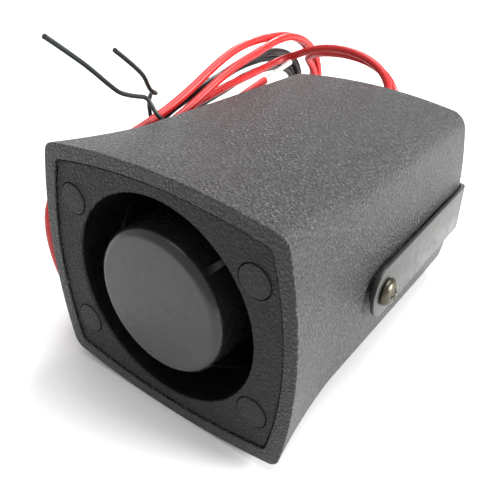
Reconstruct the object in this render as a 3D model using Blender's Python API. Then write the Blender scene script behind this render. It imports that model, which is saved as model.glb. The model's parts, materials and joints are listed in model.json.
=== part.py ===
"""Horn alarm siren: a flared plastic housing with a re-entrant horn, its driver and circuit board, a
tilting U bracket on two side screws, and a pair of leads folded into a tied hank beside it.

The siren is modelled along its own axis: x to its right, y from the mouth to the rear wall and z up.
The empty siren_frame then lets it down onto the surface it stands on, which is z = 0 in the scene."""

import math

import bmesh
import bpy
from mathutils import Matrix, Vector
from mathutils.geometry import interpolate_bezier

MM = 0.001

# Clearances
GAP = 0.3 * MM
SLIP = 0.3 * MM

# Housing: half sizes at the virtual corners of the section, and how far each side bulges beyond them
LENGTH = 89.0 * MM
FACE_HALF_WIDTH = 32.0 * MM
FACE_HALF_HEIGHT = 28.3 * MM
REAR_HALF_WIDTH = FACE_HALF_WIDTH - 4.15 * MM
REAR_HALF_HEIGHT = FACE_HALF_HEIGHT - 5.0 * MM
SIDE_TAPER = 0.0212
TOP_TAPER = 0.0333
FLARE_LENGTH = 26.0 * MM
FLARE_POWER_SIDE = 2.1
FLARE_POWER_TOP = 1.3
FACE_BULGE_SIDE = 3.5 * MM
FACE_BULGE_TOP = 2.9 * MM
BODY_BULGE = 2.4 * MM
BULGE_LENGTH = 22.4 * MM
FACE_CORNER = 2.2 * MM
BODY_CORNER = 3.4 * MM
WALL = 2.4 * MM
REAR_EDGE = 1.2 * MM
FRONT_EDGE = 0.4 * MM

# Front panel and horn
RIM_WIDTH = 3.2 * MM
RIM_CORNER = 1.0 * MM
PANEL_SINK = 0.4 * MM
PANEL_THICKNESS = 2.6 * MM
LEDGE_WIDTH = 0.6 * MM
LEDGE_THICKNESS = 2.2 * MM
MOUTH_RADIUS = 0.778 * FACE_HALF_WIDTH
HORN_DEPTH = 29.6 * MM
HORN_WALL = 1.6 * MM
HORN_NECK = 0.281 * MOUTH_RADIUS
PLUG_X = FACE_HALF_WIDTH - 7.0 * MM
PLUG_Z = FACE_HALF_HEIGHT - 11.7 * MM
PLUG_RADIUS = 3.7 * MM
PLUG_PROUD = 0.25 * MM
PLUG_THICKNESS = 1.3 * MM
PANEL_SCREW_HEAD = 2.7 * MM
PANEL_SCREW_HEAD_HEIGHT = 1.5 * MM
PANEL_SCREW_SHANK = 1.2 * MM
PANEL_SCREW_LENGTH = 14.0 * MM
POCKET_WALL = 0.6 * MM
POCKET_FLOOR = 1.2 * MM
CORNER_POST_RADIUS = 2.7 * MM
CORNER_POST_LENGTH = 19.0 * MM

# Sound cup in the middle of the horn, and the tube inside it
CUP_RADIUS = 0.703 * MOUTH_RADIUS
CUP_PROUD = 0.9 * MM
CUP_EDGE = 2.2 * MM
CUP_WALL = 2.2 * MM
CUP_LENGTH = 24.5 * MM
CUP_FLARE = 0.4 * MM
VANE_COUNT = 4
VANE_THICKNESS = 1.5 * MM
VANE_START = 2.4 * MM
VANE_MEETS_HORN = 12.5 * MM
VANE_END = 21.0 * MM
TUBE_OUTER = 0.249 * MOUTH_RADIUS
TUBE_INNER = TUBE_OUTER - 1.4 * MM
TUBE_START = 8.0 * MM

# Driver
DRIVER_RADIUS = 0.763 * MOUTH_RADIUS
FLANGE_THICKNESS = 3.0 * MM
GASKET_THICKNESS = 0.9 * MM
DIAPHRAGM_RADIUS = 0.816 * DRIVER_RADIUS
DOME_RADIUS = 0.611 * DRIVER_RADIUS
DOME_HEIGHT = 2.0 * MM
COIL_RADIUS = 0.642 * DRIVER_RADIUS
COIL_THICKNESS = 0.5 * MM
COIL_LENGTH = 5.0 * MM
TOP_PLATE_THICKNESS = 3.0 * MM
MAGNET_THICKNESS = 8.0 * MM
YOKE_THICKNESS = 3.0 * MM
POLE_RADIUS = COIL_RADIUS - 0.9 * MM
DRIVER_SCREW_CIRCLE = 0.889 * DRIVER_RADIUS
DRIVER_SCREW_RADIUS = 1.1 * MM
DRIVER_SCREW_HEAD = 1.9 * MM

# Circuit board, upright on two posts of the rear wall
BOARD_WIDTH = 2 * REAR_HALF_WIDTH - 13.7 * MM
BOARD_HEIGHT = 2 * REAR_HALF_HEIGHT - 12.6 * MM
BOARD_THICKNESS = 1.6 * MM
BOARD_POST_X = BOARD_WIDTH / 2 - 3.6 * MM
BOARD_POST_Z = BOARD_HEIGHT / 2 - 3.6 * MM
BOARD_POST_RADIUS = 2.6 * MM
BOARD_POST_LENGTH = 17.0 * MM
BOARD_SCREW_RADIUS = 1.2 * MM

# Pivot screws and bracket
PIVOT_Y = 0.446 * LENGTH
PIVOT_Z = -3.8 * MM
PIVOT_SHANK = 1.75 * MM
PIVOT_HEAD_RADIUS = 3.5 * MM
PIVOT_HEAD_HEIGHT = 2.0 * MM
PIVOT_SHANK_LENGTH = 10.0 * MM
PIVOT_BOSS_RADIUS = 4.0 * MM
PIVOT_BOSS_DEPTH = 7.0 * MM
WASHER_RADIUS = 4.2 * MM
WASHER_THICKNESS = 0.5 * MM
BRACKET_THICKNESS = 1.0 * MM
BRACKET_WIDTH = 13.1 * MM
BRACKET_OPEN_X = FACE_HALF_WIDTH + 1.6 * MM
BRACKET_BASE_X = REAR_HALF_WIDTH + BODY_BULGE + 1.3 * MM
BRACKET_CLEAR = 0.8 * MM
BRACKET_REACH = LENGTH - PIVOT_Y + BRACKET_CLEAR
BRACKET_END = 6.0 * MM
BRACKET_BEND = 1.2 * MM
BRACKET_ANGLE = math.radians(0.5)
BOLT_HOLE_RADIUS = 2.6 * MM
BOLT_SPACING = 1.125 * FACE_HALF_WIDTH

# Grommet and leads
GROMMET_Z = REAR_HALF_HEIGHT - 6.7 * MM
GROMMET_NECK = 3.3 * MM
GROMMET_FLANGE = 4.7 * MM
GROMMET_FLANGE_THICKNESS = 1.5 * MM
LEAD_SPACING = 3.2 * MM
LEAD_DIAMETER = 2.4 * MM
CORE_DIAMETER = 1.5 * MM
THIN_WIRE_DIAMETER = 1.2 * MM
TIE_DIAMETER = 1.4 * MM
HANK_INNER_X = -37.6 * MM
HANK_THICKNESS = 9.6 * MM

MATERIALS = {
    "housing_plastic": ((0.030, 0.032, 0.036), 0.55, 0.0),
    "panel_plastic": ((0.028, 0.029, 0.032), 0.6, 0.0),
    "cup_plastic": ((0.035, 0.036, 0.040), 0.4, 0.0),
    "plug_plastic": ((0.026, 0.027, 0.030), 0.6, 0.0),
    "inner_plastic": ((0.05, 0.05, 0.05), 0.5, 0.0),
    "bracket_paint": ((0.035, 0.036, 0.036), 0.35, 0.0),
    "dark_steel": ((0.16, 0.145, 0.12), 0.35, 1.0),
    "zinc_steel": ((0.55, 0.55, 0.53), 0.35, 1.0),
    "plain_steel": ((0.45, 0.45, 0.46), 0.4, 1.0),
    "ferrite": ((0.07, 0.07, 0.075), 0.6, 0.0),
    "copper": ((0.72, 0.38, 0.22), 0.35, 1.0),
    "film": ((0.55, 0.42, 0.22), 0.4, 0.0),
    "rubber": ((0.02, 0.02, 0.02), 0.8, 0.0),
    "nylon": ((0.6, 0.6, 0.57), 0.5, 0.0),
    "board_laminate": ((0.36, 0.25, 0.11), 0.5, 0.0),
    "capacitor_sleeve": ((0.03, 0.04, 0.12), 0.35, 0.0),
    "chip_epoxy": ((0.02, 0.02, 0.02), 0.5, 0.0),
    "red_insulation": ((0.62, 0.02, 0.015), 0.35, 0.0),
    "black_insulation": ((0.02, 0.02, 0.02), 0.35, 0.0),
    "lead_bundle": ((0.5, 0.02, 0.015), 0.4, 0.0),
    "tinned_copper": ((0.75, 0.72, 0.70), 0.35, 1.0),
    "tie_plastic": ((0.02, 0.022, 0.02), 0.4, 0.0),
}


# ---------------------------------------------------------------- scene and mesh helpers


def clear_scene():
    for obj in list(bpy.data.objects):
        bpy.data.objects.remove(obj, do_unlink=True)


def material(name):
    found = bpy.data.materials.get(name)
    if found:
        return found
    colour, roughness, metallic = MATERIALS[name]
    made = bpy.data.materials.new(name)
    made.use_nodes = True
    shader = made.node_tree.nodes["Principled BSDF"]
    shader.inputs["Base Color"].default_value = (*colour, 1.0)
    shader.inputs["Roughness"].default_value = roughness
    shader.inputs["Metallic"].default_value = metallic
    made.diffuse_color = (*colour, 1.0)
    return made


def new_empty(name, parent=None):
    empty = bpy.data.objects.new(name, None)
    bpy.context.scene.collection.objects.link(empty)
    empty.parent = parent
    return empty


def new_object(name, mesh, finish, parent, place=(0, 0, 0)):
    obj = bpy.data.objects.new(name, mesh)
    bpy.context.scene.collection.objects.link(obj)
    obj.parent = parent
    obj.location = place
    if finish:
        mesh.materials.append(material(finish))
    return obj


def mesh_from(name, bm):
    bmesh.ops.remove_doubles(bm, verts=bm.verts, dist=1e-7)
    bmesh.ops.recalc_face_normals(bm, faces=bm.faces)
    mesh = bpy.data.meshes.new(name)
    bm.to_mesh(mesh)
    bm.free()
    return mesh


def smooth(mesh, angle=35):
    mesh.shade_smooth()
    mesh.set_sharp_from_angle(angle=math.radians(angle))
    return mesh


def bridged(name, rings, cap_ends=True):
    """A closed mesh through rings of equal point counts; the first and last ring are capped, or joined."""
    bm = bmesh.new()
    loops = [[bm.verts.new(point) for point in ring] for ring in rings]
    count = len(rings[0])
    pairs = list(zip(loops[:-1], loops[1:]))
    if not cap_ends:
        pairs.append((loops[-1], loops[0]))
    for near, far in pairs:
        for i in range(count):
            j = (i + 1) % count
            bm.faces.new((near[i], near[j], far[j], far[i]))
    if cap_ends:
        bm.faces.new(loops[0])
        bm.faces.new(loops[-1])
    return mesh_from(name, bm)


def turned(name, profile, segments=40):
    """A solid turned about the y axis from a closed outline of (y, radius) points."""
    bm = bmesh.new()
    points = [bm.verts.new((radius, y, 0)) for y, radius in profile]
    edges = [bm.edges.new((points[i], points[(i + 1) % len(points)])) for i in range(len(points))]
    bmesh.ops.spin(
        bm, geom=points + edges, cent=(0, 0, 0), axis=(0, 1, 0), angle=math.tau, steps=segments
    )
    bmesh.ops.remove_doubles(bm, verts=bm.verts, dist=1e-7)
    bmesh.ops.dissolve_degenerate(bm, edges=bm.edges, dist=1e-8)
    loose = [edge for edge in bm.edges if not edge.link_faces]
    bmesh.ops.delete(bm, geom=loose, context="EDGES")
    return smooth(mesh_from(name, bm))


def rod(name, start, end, radius, segments=24):
    """A plain cylinder between two points."""
    start, end = Vector(start), Vector(end)
    along = end - start
    bm = bmesh.new()
    bmesh.ops.create_cone(
        bm, cap_ends=True, segments=segments, radius1=radius, radius2=radius, depth=along.length
    )
    turn = along.to_track_quat("Z", "Y").to_matrix().to_4x4()
    bmesh.ops.transform(bm, matrix=Matrix.Translation((start + end) / 2) @ turn, verts=bm.verts)
    return smooth(mesh_from(name, bm))


def block(name, low, high):
    low, high = Vector(low), Vector(high)
    bm = bmesh.new()
    bmesh.ops.create_cube(bm, size=1.0)
    bmesh.ops.scale(bm, vec=high - low, verts=bm.verts)
    bmesh.ops.translate(bm, vec=(low + high) / 2, verts=bm.verts)
    return mesh_from(name, bm)


def extruded(name, outline, offset):
    """A prism: a closed outline of 3-D points in one plane, pushed along offset."""
    offset = Vector(offset)
    far = [Vector(point) + offset for point in outline]
    return bridged(name, [outline, far])


def boolean(obj, mesh, operation, hull=None):
    """Cuts mesh from obj, or joins it to obj, as a modifier with a hidden helper object."""
    helper = new_object(f"{obj.name}_{operation.lower()}_{len(obj.modifiers)}", mesh, None, hull or obj.parent)
    helper.hide_render = True
    helper.hide_set(True)
    helper.display_type = "WIRE"
    step = obj.modifiers.new(f"{operation.lower()}_{len(obj.modifiers)}", "BOOLEAN")
    step.operation = operation
    step.solver = "EXACT"
    step.object = helper


def bevel(obj, width, segments=2, angle=40):
    step = obj.modifiers.new("bevel", "BEVEL")
    step.width = width
    step.segments = segments
    step.limit_method = "ANGLE"
    step.angle_limit = math.radians(angle)


# ---------------------------------------------------------------- sections of the housing


def along(y):
    return max(0.0, 1.0 - y / FLARE_LENGTH)


def half_width(y):
    straight = REAR_HALF_WIDTH + SIDE_TAPER * (LENGTH - y)
    flare = FACE_HALF_WIDTH - REAR_HALF_WIDTH - SIDE_TAPER * LENGTH
    return straight + flare * along(y) ** FLARE_POWER_SIDE


def half_height(y):
    straight = REAR_HALF_HEIGHT + TOP_TAPER * (LENGTH - y)
    flare = FACE_HALF_HEIGHT - REAR_HALF_HEIGHT - TOP_TAPER * LENGTH
    return straight + flare * along(y) ** FLARE_POWER_TOP


def blend(front, body, y):
    share = min(1.0, max(0.0, y / BULGE_LENGTH))
    return front + (body - front) * share


def side_bulge(y):
    return blend(FACE_BULGE_SIDE, BODY_BULGE, y)


def top_bulge(y):
    return blend(FACE_BULGE_TOP, BODY_BULGE, y)


def wall_x(y, z=0.0):
    """How far out the side wall's surface is at one place."""
    return half_width(y) + side_bulge(y) * (1 - (z / half_height(y)) ** 2)


def wall_z(y, x=0.0):
    """How high the top wall's surface is at one place."""
    return half_height(y) + top_bulge(y) * (1 - (x / half_width(y)) ** 2)


def section(y, inset=0.0, corner=None, at=None):
    """The closed outline of the housing at y: a rectangle with bulging sides and round corners.

    inset moves every side inwards. at places the points at another y than the one they're read from."""
    wide = half_width(y) - inset
    high = half_height(y) - inset
    bulge_x, bulge_z = side_bulge(y), top_bulge(y)
    radius = max(0.3 * MM, (blend(FACE_CORNER, BODY_CORNER, y) if corner is None else corner) - inset)
    if corner is not None:
        radius = corner
    reach_x, reach_z = wide - radius, high - radius
    steps = (-1.0, -0.6, -0.2, 0.2, 0.6, 1.0)
    top = [(reach_x * s, high + bulge_z * (1 - (reach_x * s / wide) ** 2)) for s in steps]
    side = [(wide + bulge_x * (1 - (reach_z * s / high) ** 2), reach_z * s) for s in reversed(steps)]
    start, end = Vector(top[-1]), Vector(side[0])
    slope_top = -2 * bulge_z * reach_x / wide**2
    slope_side = -2 * bulge_x * reach_z / high**2
    rise = end - start
    reach = (rise.x - slope_side * rise.y) / (1 - slope_side * slope_top)
    knee = start + reach * Vector((1, slope_top))
    hold = 0.56
    arc = interpolate_bezier(
        start.to_3d(), start.lerp(knee, hold).to_3d(), end.lerp(knee, hold).to_3d(), end.to_3d(), 6
    )
    quarter = [(point.x, point.y) for point in arc[1:-1]]
    right = quarter + side + [(x, -z) for x, z in reversed(quarter)]
    bottom = [(x, -z) for x, z in reversed(top)]
    left = [(-x, -z) for x, z in right]
    place = y if at is None else at
    return [(x, place, z) for x, z in top + right + bottom + left]


# ---------------------------------------------------------------- places along the axis

PANEL_BACK = PANEL_SINK + PANEL_THICKNESS
LEDGE_FRONT = PANEL_BACK + GAP
PLUG_FRONT = PANEL_SINK - PLUG_PROUD
PANEL_SCREW_FRONT = PLUG_FRONT + PLUG_THICKNESS + GAP
POCKET_BOTTOM = PANEL_SCREW_FRONT + PANEL_SCREW_HEAD_HEIGHT + GAP
POCKET_BACK = POCKET_BOTTOM + POCKET_FLOOR
CORNER_POST_FRONT = POCKET_BACK + GAP
HORN_BACK = HORN_DEPTH + HORN_WALL
FLANGE_FRONT = HORN_BACK + GAP
FLANGE_BACK = FLANGE_FRONT + FLANGE_THICKNESS
GASKET_FRONT = FLANGE_BACK + GAP
GASKET_BACK = GASKET_FRONT + GASKET_THICKNESS
DIAPHRAGM_FRONT = GASKET_BACK + GAP
DIAPHRAGM_THICKNESS = 0.5 * MM
TOP_PLATE_FRONT = DIAPHRAGM_FRONT + DIAPHRAGM_THICKNESS + 1.6 * MM
TOP_PLATE_BACK = TOP_PLATE_FRONT + TOP_PLATE_THICKNESS
MAGNET_FRONT = TOP_PLATE_BACK + GAP
MAGNET_BACK = MAGNET_FRONT + MAGNET_THICKNESS
YOKE_FRONT = MAGNET_BACK + GAP
YOKE_BACK = YOKE_FRONT + YOKE_THICKNESS
REAR_INSIDE = LENGTH - WALL
BOARD_BACK = REAR_INSIDE - BOARD_POST_LENGTH - GAP
BOARD_FRONT = BOARD_BACK - BOARD_THICKNESS
EXIT_Y = LENGTH + GAP + GROMMET_FLANGE_THICKNESS


def horn_profile():
    """The horn's inner surface as (y, radius), from the mouth to the neck."""
    curve = interpolate_bezier(
        Vector((PANEL_SINK, MOUTH_RADIUS, 0)),
        Vector((HORN_DEPTH * 0.62, MOUTH_RADIUS * 0.985, 0)),
        Vector((HORN_DEPTH, MOUTH_RADIUS * 0.78, 0)),
        Vector((HORN_DEPTH, HORN_NECK, 0)),
        10,
    )
    return [(point.x, point.y) for point in curve]


def horn_radius(y):
    """The horn's inner radius at one depth, read from its profile."""
    points = horn_profile()
    for (y0, r0), (y1, r1) in zip(points[:-1], points[1:]):
        if y0 <= y <= y1:
            return r0 + (r1 - r0) * (y - y0) / (y1 - y0)
    return points[-1][1]


# ---------------------------------------------------------------- housing


def corners():
    return [(sx * PLUG_X, sz * PLUG_Z) for sz in (1, -1) for sx in (-1, 1)]


def housing(frame):
    outside = [section(0, inset=FRONT_EDGE, at=0), section(0, at=FRONT_EDGE)]
    outside += [section(LENGTH * share) for share in (0.025, 0.05, 0.08, 0.12, 0.17, 0.23, 0.3, 0.5, 0.75)]
    outside += [section(LENGTH - REAR_EDGE)]
    for turn in (30, 60, 90):
        angle = math.radians(turn)
        outside += [
            section(
                LENGTH - REAR_EDGE * (1 - math.sin(angle)),
                inset=REAR_EDGE * (1 - math.cos(angle)),
                corner=BODY_CORNER,
            )
        ]
    ledge_back = LEDGE_FRONT + LEDGE_THICKNESS
    inside = [section(REAR_INSIDE, inset=WALL)]
    inside += [section(LENGTH * share, inset=WALL) for share in (0.75, 0.5, 0.3, 0.2, 0.12)]
    inside += [
        section(ledge_back + WALL, inset=WALL, corner=FACE_CORNER),
        section(0, inset=RIM_WIDTH + LEDGE_WIDTH, corner=RIM_CORNER, at=ledge_back),
        section(0, inset=RIM_WIDTH + LEDGE_WIDTH, corner=RIM_CORNER, at=LEDGE_FRONT),
        section(0, inset=RIM_WIDTH, corner=RIM_CORNER, at=LEDGE_FRONT),
        section(0, inset=RIM_WIDTH, corner=RIM_CORNER, at=0),
    ]
    bm = bmesh.new()
    loops = [[bm.verts.new(point) for point in ring] for ring in outside + inside]
    for k, near in enumerate(loops):
        far = loops[(k + 1) % len(loops)]
        if k == len(outside) - 1:
            continue
        for i in range(len(near)):
            j = (i + 1) % len(near)
            bm.faces.new((near[i], near[j], far[j], far[i]))
    bm.faces.new(loops[len(outside) - 1])
    bm.faces.new(loops[len(outside)])
    shell = new_object("housing", smooth(mesh_from("housing", bm), 30), "housing_plastic", frame)

    post_end = CORNER_POST_FRONT + CORNER_POST_LENGTH
    for x, z in corners():
        post = rod("post", (x, CORNER_POST_FRONT, z), (x, post_end, z), CORNER_POST_RADIUS, 16)
        boolean(shell, post, "UNION")
        out = math.copysign(1, x)
        up = math.copysign(1, z)
        rib_start = CORNER_POST_FRONT + 3.6 * MM
        reach = wall_x(post_end, z) - WALL / 2
        rib = block(
            "rib",
            (min(x, out * reach), rib_start, z - 0.8 * MM),
            (max(x, out * reach), post_end, z + 0.8 * MM),
        )
        boolean(shell, rib, "UNION")
        reach = wall_z(post_end, x) - WALL / 2
        rib = block(
            "rib",
            (x - 0.8 * MM, rib_start, min(z, up * reach)),
            (x + 0.8 * MM, post_end, max(z, up * reach)),
        )
        boolean(shell, rib, "UNION")
    for side in (-1, 1):
        deep = wall_x(PIVOT_Y) - WALL - PIVOT_BOSS_DEPTH
        boss = rod(
            "boss",
            (side * deep, PIVOT_Y, PIVOT_Z),
            (side * (wall_x(PIVOT_Y) - WALL / 2), PIVOT_Y, PIVOT_Z),
            PIVOT_BOSS_RADIUS,
            20,
        )
        boolean(shell, boss, "UNION")
        post = rod(
            "post",
            (side * BOARD_POST_X, REAR_INSIDE - BOARD_POST_LENGTH, -side * BOARD_POST_Z),
            (side * BOARD_POST_X, REAR_INSIDE + WALL / 2, -side * BOARD_POST_Z),
            BOARD_POST_RADIUS,
            16,
        )
        boolean(shell, post, "UNION")
    for side in (-1, 1):
        hole = rod(
            "hole", (side * 15 * MM, PIVOT_Y, PIVOT_Z), (side * 40 * MM, PIVOT_Y, PIVOT_Z), PIVOT_SHANK + GAP, 16
        )
        boolean(shell, hole, "DIFFERENCE")
        hole = rod(
            "hole",
            (side * BOARD_POST_X, REAR_INSIDE - BOARD_POST_LENGTH - WALL, -side * BOARD_POST_Z),
            (side * BOARD_POST_X, REAR_INSIDE - WALL, -side * BOARD_POST_Z),
            BOARD_SCREW_RADIUS + SLIP,
            12,
        )
        boolean(shell, hole, "DIFFERENCE")
    for x, z in corners():
        hole = rod(
            "hole", (x, CORNER_POST_FRONT - WALL, z), (x, post_end - WALL, z), PANEL_SCREW_SHANK + SLIP, 12
        )
        boolean(shell, hole, "DIFFERENCE")
    hole = rod(
        "hole", (0, REAR_INSIDE - WALL, GROMMET_Z), (0, LENGTH + WALL, GROMMET_Z), GROMMET_NECK + SLIP, 20
    )
    boolean(shell, hole, "DIFFERENCE")
    return shell


# ---------------------------------------------------------------- panel, horn, plugs


def horn_panel(frame):
    front = section(0, inset=RIM_WIDTH + SLIP, corner=RIM_CORNER - SLIP, at=PANEL_SINK)
    back = [(x, PANEL_BACK, z) for x, _, z in front]
    panel = new_object("horn_panel", bridged("horn_panel", [front, back]), "panel_plastic", frame)
    inner = horn_profile()
    outer = [(y + HORN_WALL * min(1.0, y / HORN_DEPTH) ** 2, r + HORN_WALL * 0.9) for y, r in inner[:-1]]
    outer = [(max(y, PANEL_SINK + 1 * MM), r) for y, r in outer]
    outer += [(HORN_BACK, HORN_NECK)]
    bowl = turned("bowl", inner + outer[::-1], 48)
    for x, z in corners():
        pocket = rod("pocket", (x, PANEL_SINK + 1 * MM, z), (x, POCKET_BACK, z), PLUG_RADIUS + SLIP + POCKET_WALL, 24)
        boolean(panel, pocket, "UNION")
    boolean(panel, bowl, "UNION")
    for k in range(3):
        x, z = driver_screw_place(k)
        boss = rod("boss", (x, HORN_DEPTH * 0.9, z), (x, HORN_BACK, z), 2.2 * MM, 14)
        boolean(panel, boss, "UNION")
    mouth = inner[:-1] + [(HORN_DEPTH, HORN_NECK), (HORN_BACK + WALL, HORN_NECK), (HORN_BACK + WALL, 0)]
    mouth = [(-WALL, 0), (-WALL, MOUTH_RADIUS)] + mouth
    boolean(panel, turned("mouth", mouth, 48), "DIFFERENCE")
    for k in range(3):
        x, z = driver_screw_place(k)
        hole = rod("hole", (x, HORN_BACK - 2.6 * MM, z), (x, HORN_BACK + WALL, z), DRIVER_SCREW_RADIUS + SLIP, 12)
        boolean(panel, hole, "DIFFERENCE")
    for x, z in corners():
        pocket = rod("pocket", (x, -WALL, z), (x, POCKET_BOTTOM, z), PLUG_RADIUS + SLIP, 24)
        boolean(panel, pocket, "DIFFERENCE")
        hole = rod("hole", (x, 0, z), (x, POCKET_BACK + WALL, z), PANEL_SCREW_SHANK + GAP, 12)
        boolean(panel, hole, "DIFFERENCE")
    return panel


def driver_screw_place(k):
    angle = math.radians(90 + 120 * k)
    return DRIVER_SCREW_CIRCLE * math.cos(angle), DRIVER_SCREW_CIRCLE * math.sin(angle)


def plugs(frame):
    for name, (x, z) in zip(("top_left", "top_right", "bottom_left", "bottom_right"), corners()):
        profile = [
            (0, 0),
            (0, PLUG_RADIUS - 0.2 * MM),
            (0.2 * MM, PLUG_RADIUS),
            (PLUG_THICKNESS, PLUG_RADIUS),
            (PLUG_THICKNESS, 0),
        ]
        mesh = turned(f"plug_{name}", profile, 24)
        new_object(f"plug_{name}", mesh, "plug_plastic", frame, (x, PLUG_FRONT, z))


def screw_profile(head_radius, head_height, shank_radius, length, point):
    """A pan head and its shank along +y: the head's underside is at y = 0."""
    return [
        (-head_height, 0),
        (-head_height, head_radius * 0.45),
        (-head_height * 0.84, head_radius * 0.78),
        (-head_height * 0.5, head_radius * 0.96),
        (-head_height * 0.15, head_radius),
        (0, head_radius),
        (0, shank_radius),
        (length - point, shank_radius),
        (length, shank_radius * 0.3),
        (length, 0),
    ]


def panel_screws(frame):
    under = PANEL_SCREW_FRONT + PANEL_SCREW_HEAD_HEIGHT
    profile = screw_profile(
        PANEL_SCREW_HEAD, PANEL_SCREW_HEAD_HEIGHT, PANEL_SCREW_SHANK, PANEL_SCREW_LENGTH, 2 * MM
    )
    mesh = turned("panel_screw", profile, 16)
    for name, (x, z) in zip(("top_left", "top_right", "bottom_left", "bottom_right"), corners()):
        new_object(f"panel_screw_{name}", mesh, "zinc_steel", frame, (x, under, z))


# ---------------------------------------------------------------- cup and driver


def sound_cup(frame):
    end = CUP_LENGTH - CUP_PROUD
    corner = []
    for turn in (0, 22.5, 45, 67.5, 90):
        angle = math.radians(turn)
        y = -CUP_PROUD + CUP_EDGE * (1 - math.cos(angle))
        corner.append((y, CUP_RADIUS - CUP_EDGE + CUP_EDGE * math.sin(angle)))
    inner = CUP_RADIUS - CUP_WALL
    ceiling = CUP_WALL - CUP_PROUD
    profile = [(-CUP_PROUD, 0)] + corner
    profile += [(end, CUP_RADIUS + CUP_FLARE), (end, inner + CUP_FLARE)]
    profile += [(ceiling + 3 * MM, inner), (ceiling, inner - 3 * MM), (ceiling, 0)]
    cup = new_object("sound_cup", turned("sound_cup", profile, 48), "cup_plastic", frame)
    root = CUP_RADIUS - CUP_WALL / 2
    clear = 3 * GAP
    passage = MOUTH_RADIUS - CUP_RADIUS
    rise = VANE_MEETS_HORN - VANE_START
    vane_outline = [(VANE_START, root), (VANE_START, CUP_RADIUS)]
    for share, height in ((0.16, 0.19), (0.60, 0.61), (0.75, 0.72)):
        vane_outline.append((VANE_START + rise * share, CUP_RADIUS + passage * height))
    for y in (VANE_MEETS_HORN, (VANE_MEETS_HORN + VANE_END) / 2, VANE_END):
        vane_outline.append((y, horn_radius(y) - clear))
    vane_outline += [(VANE_END, root)]
    for k in range(VANE_COUNT):
        turn = Matrix.Rotation(math.tau * (k + 0.5) / VANE_COUNT, 4, "Y")
        outline = [turn @ Vector((radius, y, -VANE_THICKNESS / 2)) for y, radius in vane_outline]
        vane = extruded("vane", outline, turn @ Vector((0, 0, VANE_THICKNESS)))
        boolean(cup, vane, "UNION")


def throat_tube(frame):
    end = FLANGE_BACK
    profile = [
        (TUBE_START, TUBE_INNER + 0.6 * MM),
        (TUBE_START, TUBE_OUTER),
        (HORN_DEPTH - 3 * MM, TUBE_OUTER),
        (FLANGE_FRONT, HORN_NECK - GAP),
        (FLANGE_FRONT, DRIVER_RADIUS),
        (end, DRIVER_RADIUS),
        (end, DOME_RADIUS),
        (end - DOME_HEIGHT, TUBE_INNER),
    ]
    tube = new_object("throat_tube", turned("throat_tube", profile, 40), "inner_plastic", frame)
    for k in range(3):
        x, z = driver_screw_place(k)
        hole = rod("hole", (x, FLANGE_FRONT - WALL, z), (x, end + WALL, z), DRIVER_SCREW_RADIUS + SLIP, 12)
        boolean(tube, hole, "DIFFERENCE")


def driver(frame):
    ring = [
        (GASKET_FRONT, DOME_RADIUS + 1.2 * MM),
        (GASKET_FRONT, DRIVER_SCREW_CIRCLE - DRIVER_SCREW_HEAD - GAP),
        (GASKET_BACK, DRIVER_SCREW_CIRCLE - DRIVER_SCREW_HEAD - GAP),
        (GASKET_BACK, DOME_RADIUS + 1.2 * MM),
    ]
    new_object("driver_gasket", turned("driver_gasket", ring, 40), "rubber", frame)

    face = DIAPHRAGM_FRONT
    dome = []
    for share in (0.0, 0.35, 0.65, 0.88, 1.0):
        dome.append((face - DOME_HEIGHT * (1 - share**2), DOME_RADIUS * share))
    rim = [(face, DIAPHRAGM_RADIUS), (face + DIAPHRAGM_THICKNESS, DIAPHRAGM_RADIUS)]
    under = [(y + DIAPHRAGM_THICKNESS, radius) for y, radius in reversed(dome)]
    mesh = turned("diaphragm", dome + rim + under, 40)
    new_object("diaphragm", mesh, "film", frame)

    coil_front = face + DIAPHRAGM_THICKNESS + GAP
    coil = [
        (coil_front, COIL_RADIUS - COIL_THICKNESS / 2),
        (coil_front, COIL_RADIUS + COIL_THICKNESS / 2),
        (coil_front + COIL_LENGTH, COIL_RADIUS + COIL_THICKNESS / 2),
        (coil_front + COIL_LENGTH, COIL_RADIUS - COIL_THICKNESS / 2),
    ]
    new_object("voice_coil", turned("voice_coil", coil, 36), "copper", frame)

    hole = COIL_RADIUS + COIL_THICKNESS / 2 + GAP
    plate = [
        (TOP_PLATE_FRONT, hole),
        (TOP_PLATE_FRONT, DRIVER_RADIUS),
        (TOP_PLATE_BACK, DRIVER_RADIUS),
        (TOP_PLATE_BACK, hole),
    ]
    new_object("driver_top_plate", turned("driver_top_plate", plate, 40), "plain_steel", frame)

    magnet = [
        (MAGNET_FRONT, hole + 1.5 * MM),
        (MAGNET_FRONT, DRIVER_RADIUS + 0.8 * MM),
        (MAGNET_BACK, DRIVER_RADIUS + 0.8 * MM),
        (MAGNET_BACK, hole + 1.5 * MM),
    ]
    new_object("driver_magnet", turned("driver_magnet", magnet, 40), "ferrite", frame)

    yoke = [
        (TOP_PLATE_FRONT, 0),
        (TOP_PLATE_FRONT, POLE_RADIUS),
        (YOKE_FRONT, POLE_RADIUS),
        (YOKE_FRONT, DRIVER_RADIUS),
        (YOKE_BACK, DRIVER_RADIUS),
        (YOKE_BACK, 0),
    ]
    new_object("driver_yoke", turned("driver_yoke", yoke, 40), "plain_steel", frame)

    length = FLANGE_THICKNESS + 2.2 * MM
    profile = screw_profile(DRIVER_SCREW_HEAD, 1.1 * MM, DRIVER_SCREW_RADIUS, length, 0.6 * MM)
    mesh = turned("driver_screw", profile, 14)
    for k in range(3):
        x, z = driver_screw_place(k)
        screw = new_object(
            f"driver_screw_{k + 1}", mesh, "zinc_steel", frame, (x, FLANGE_BACK + SLIP, z)
        )
        screw.rotation_euler = (math.pi, 0, 0)


# ---------------------------------------------------------------- circuit board


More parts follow.
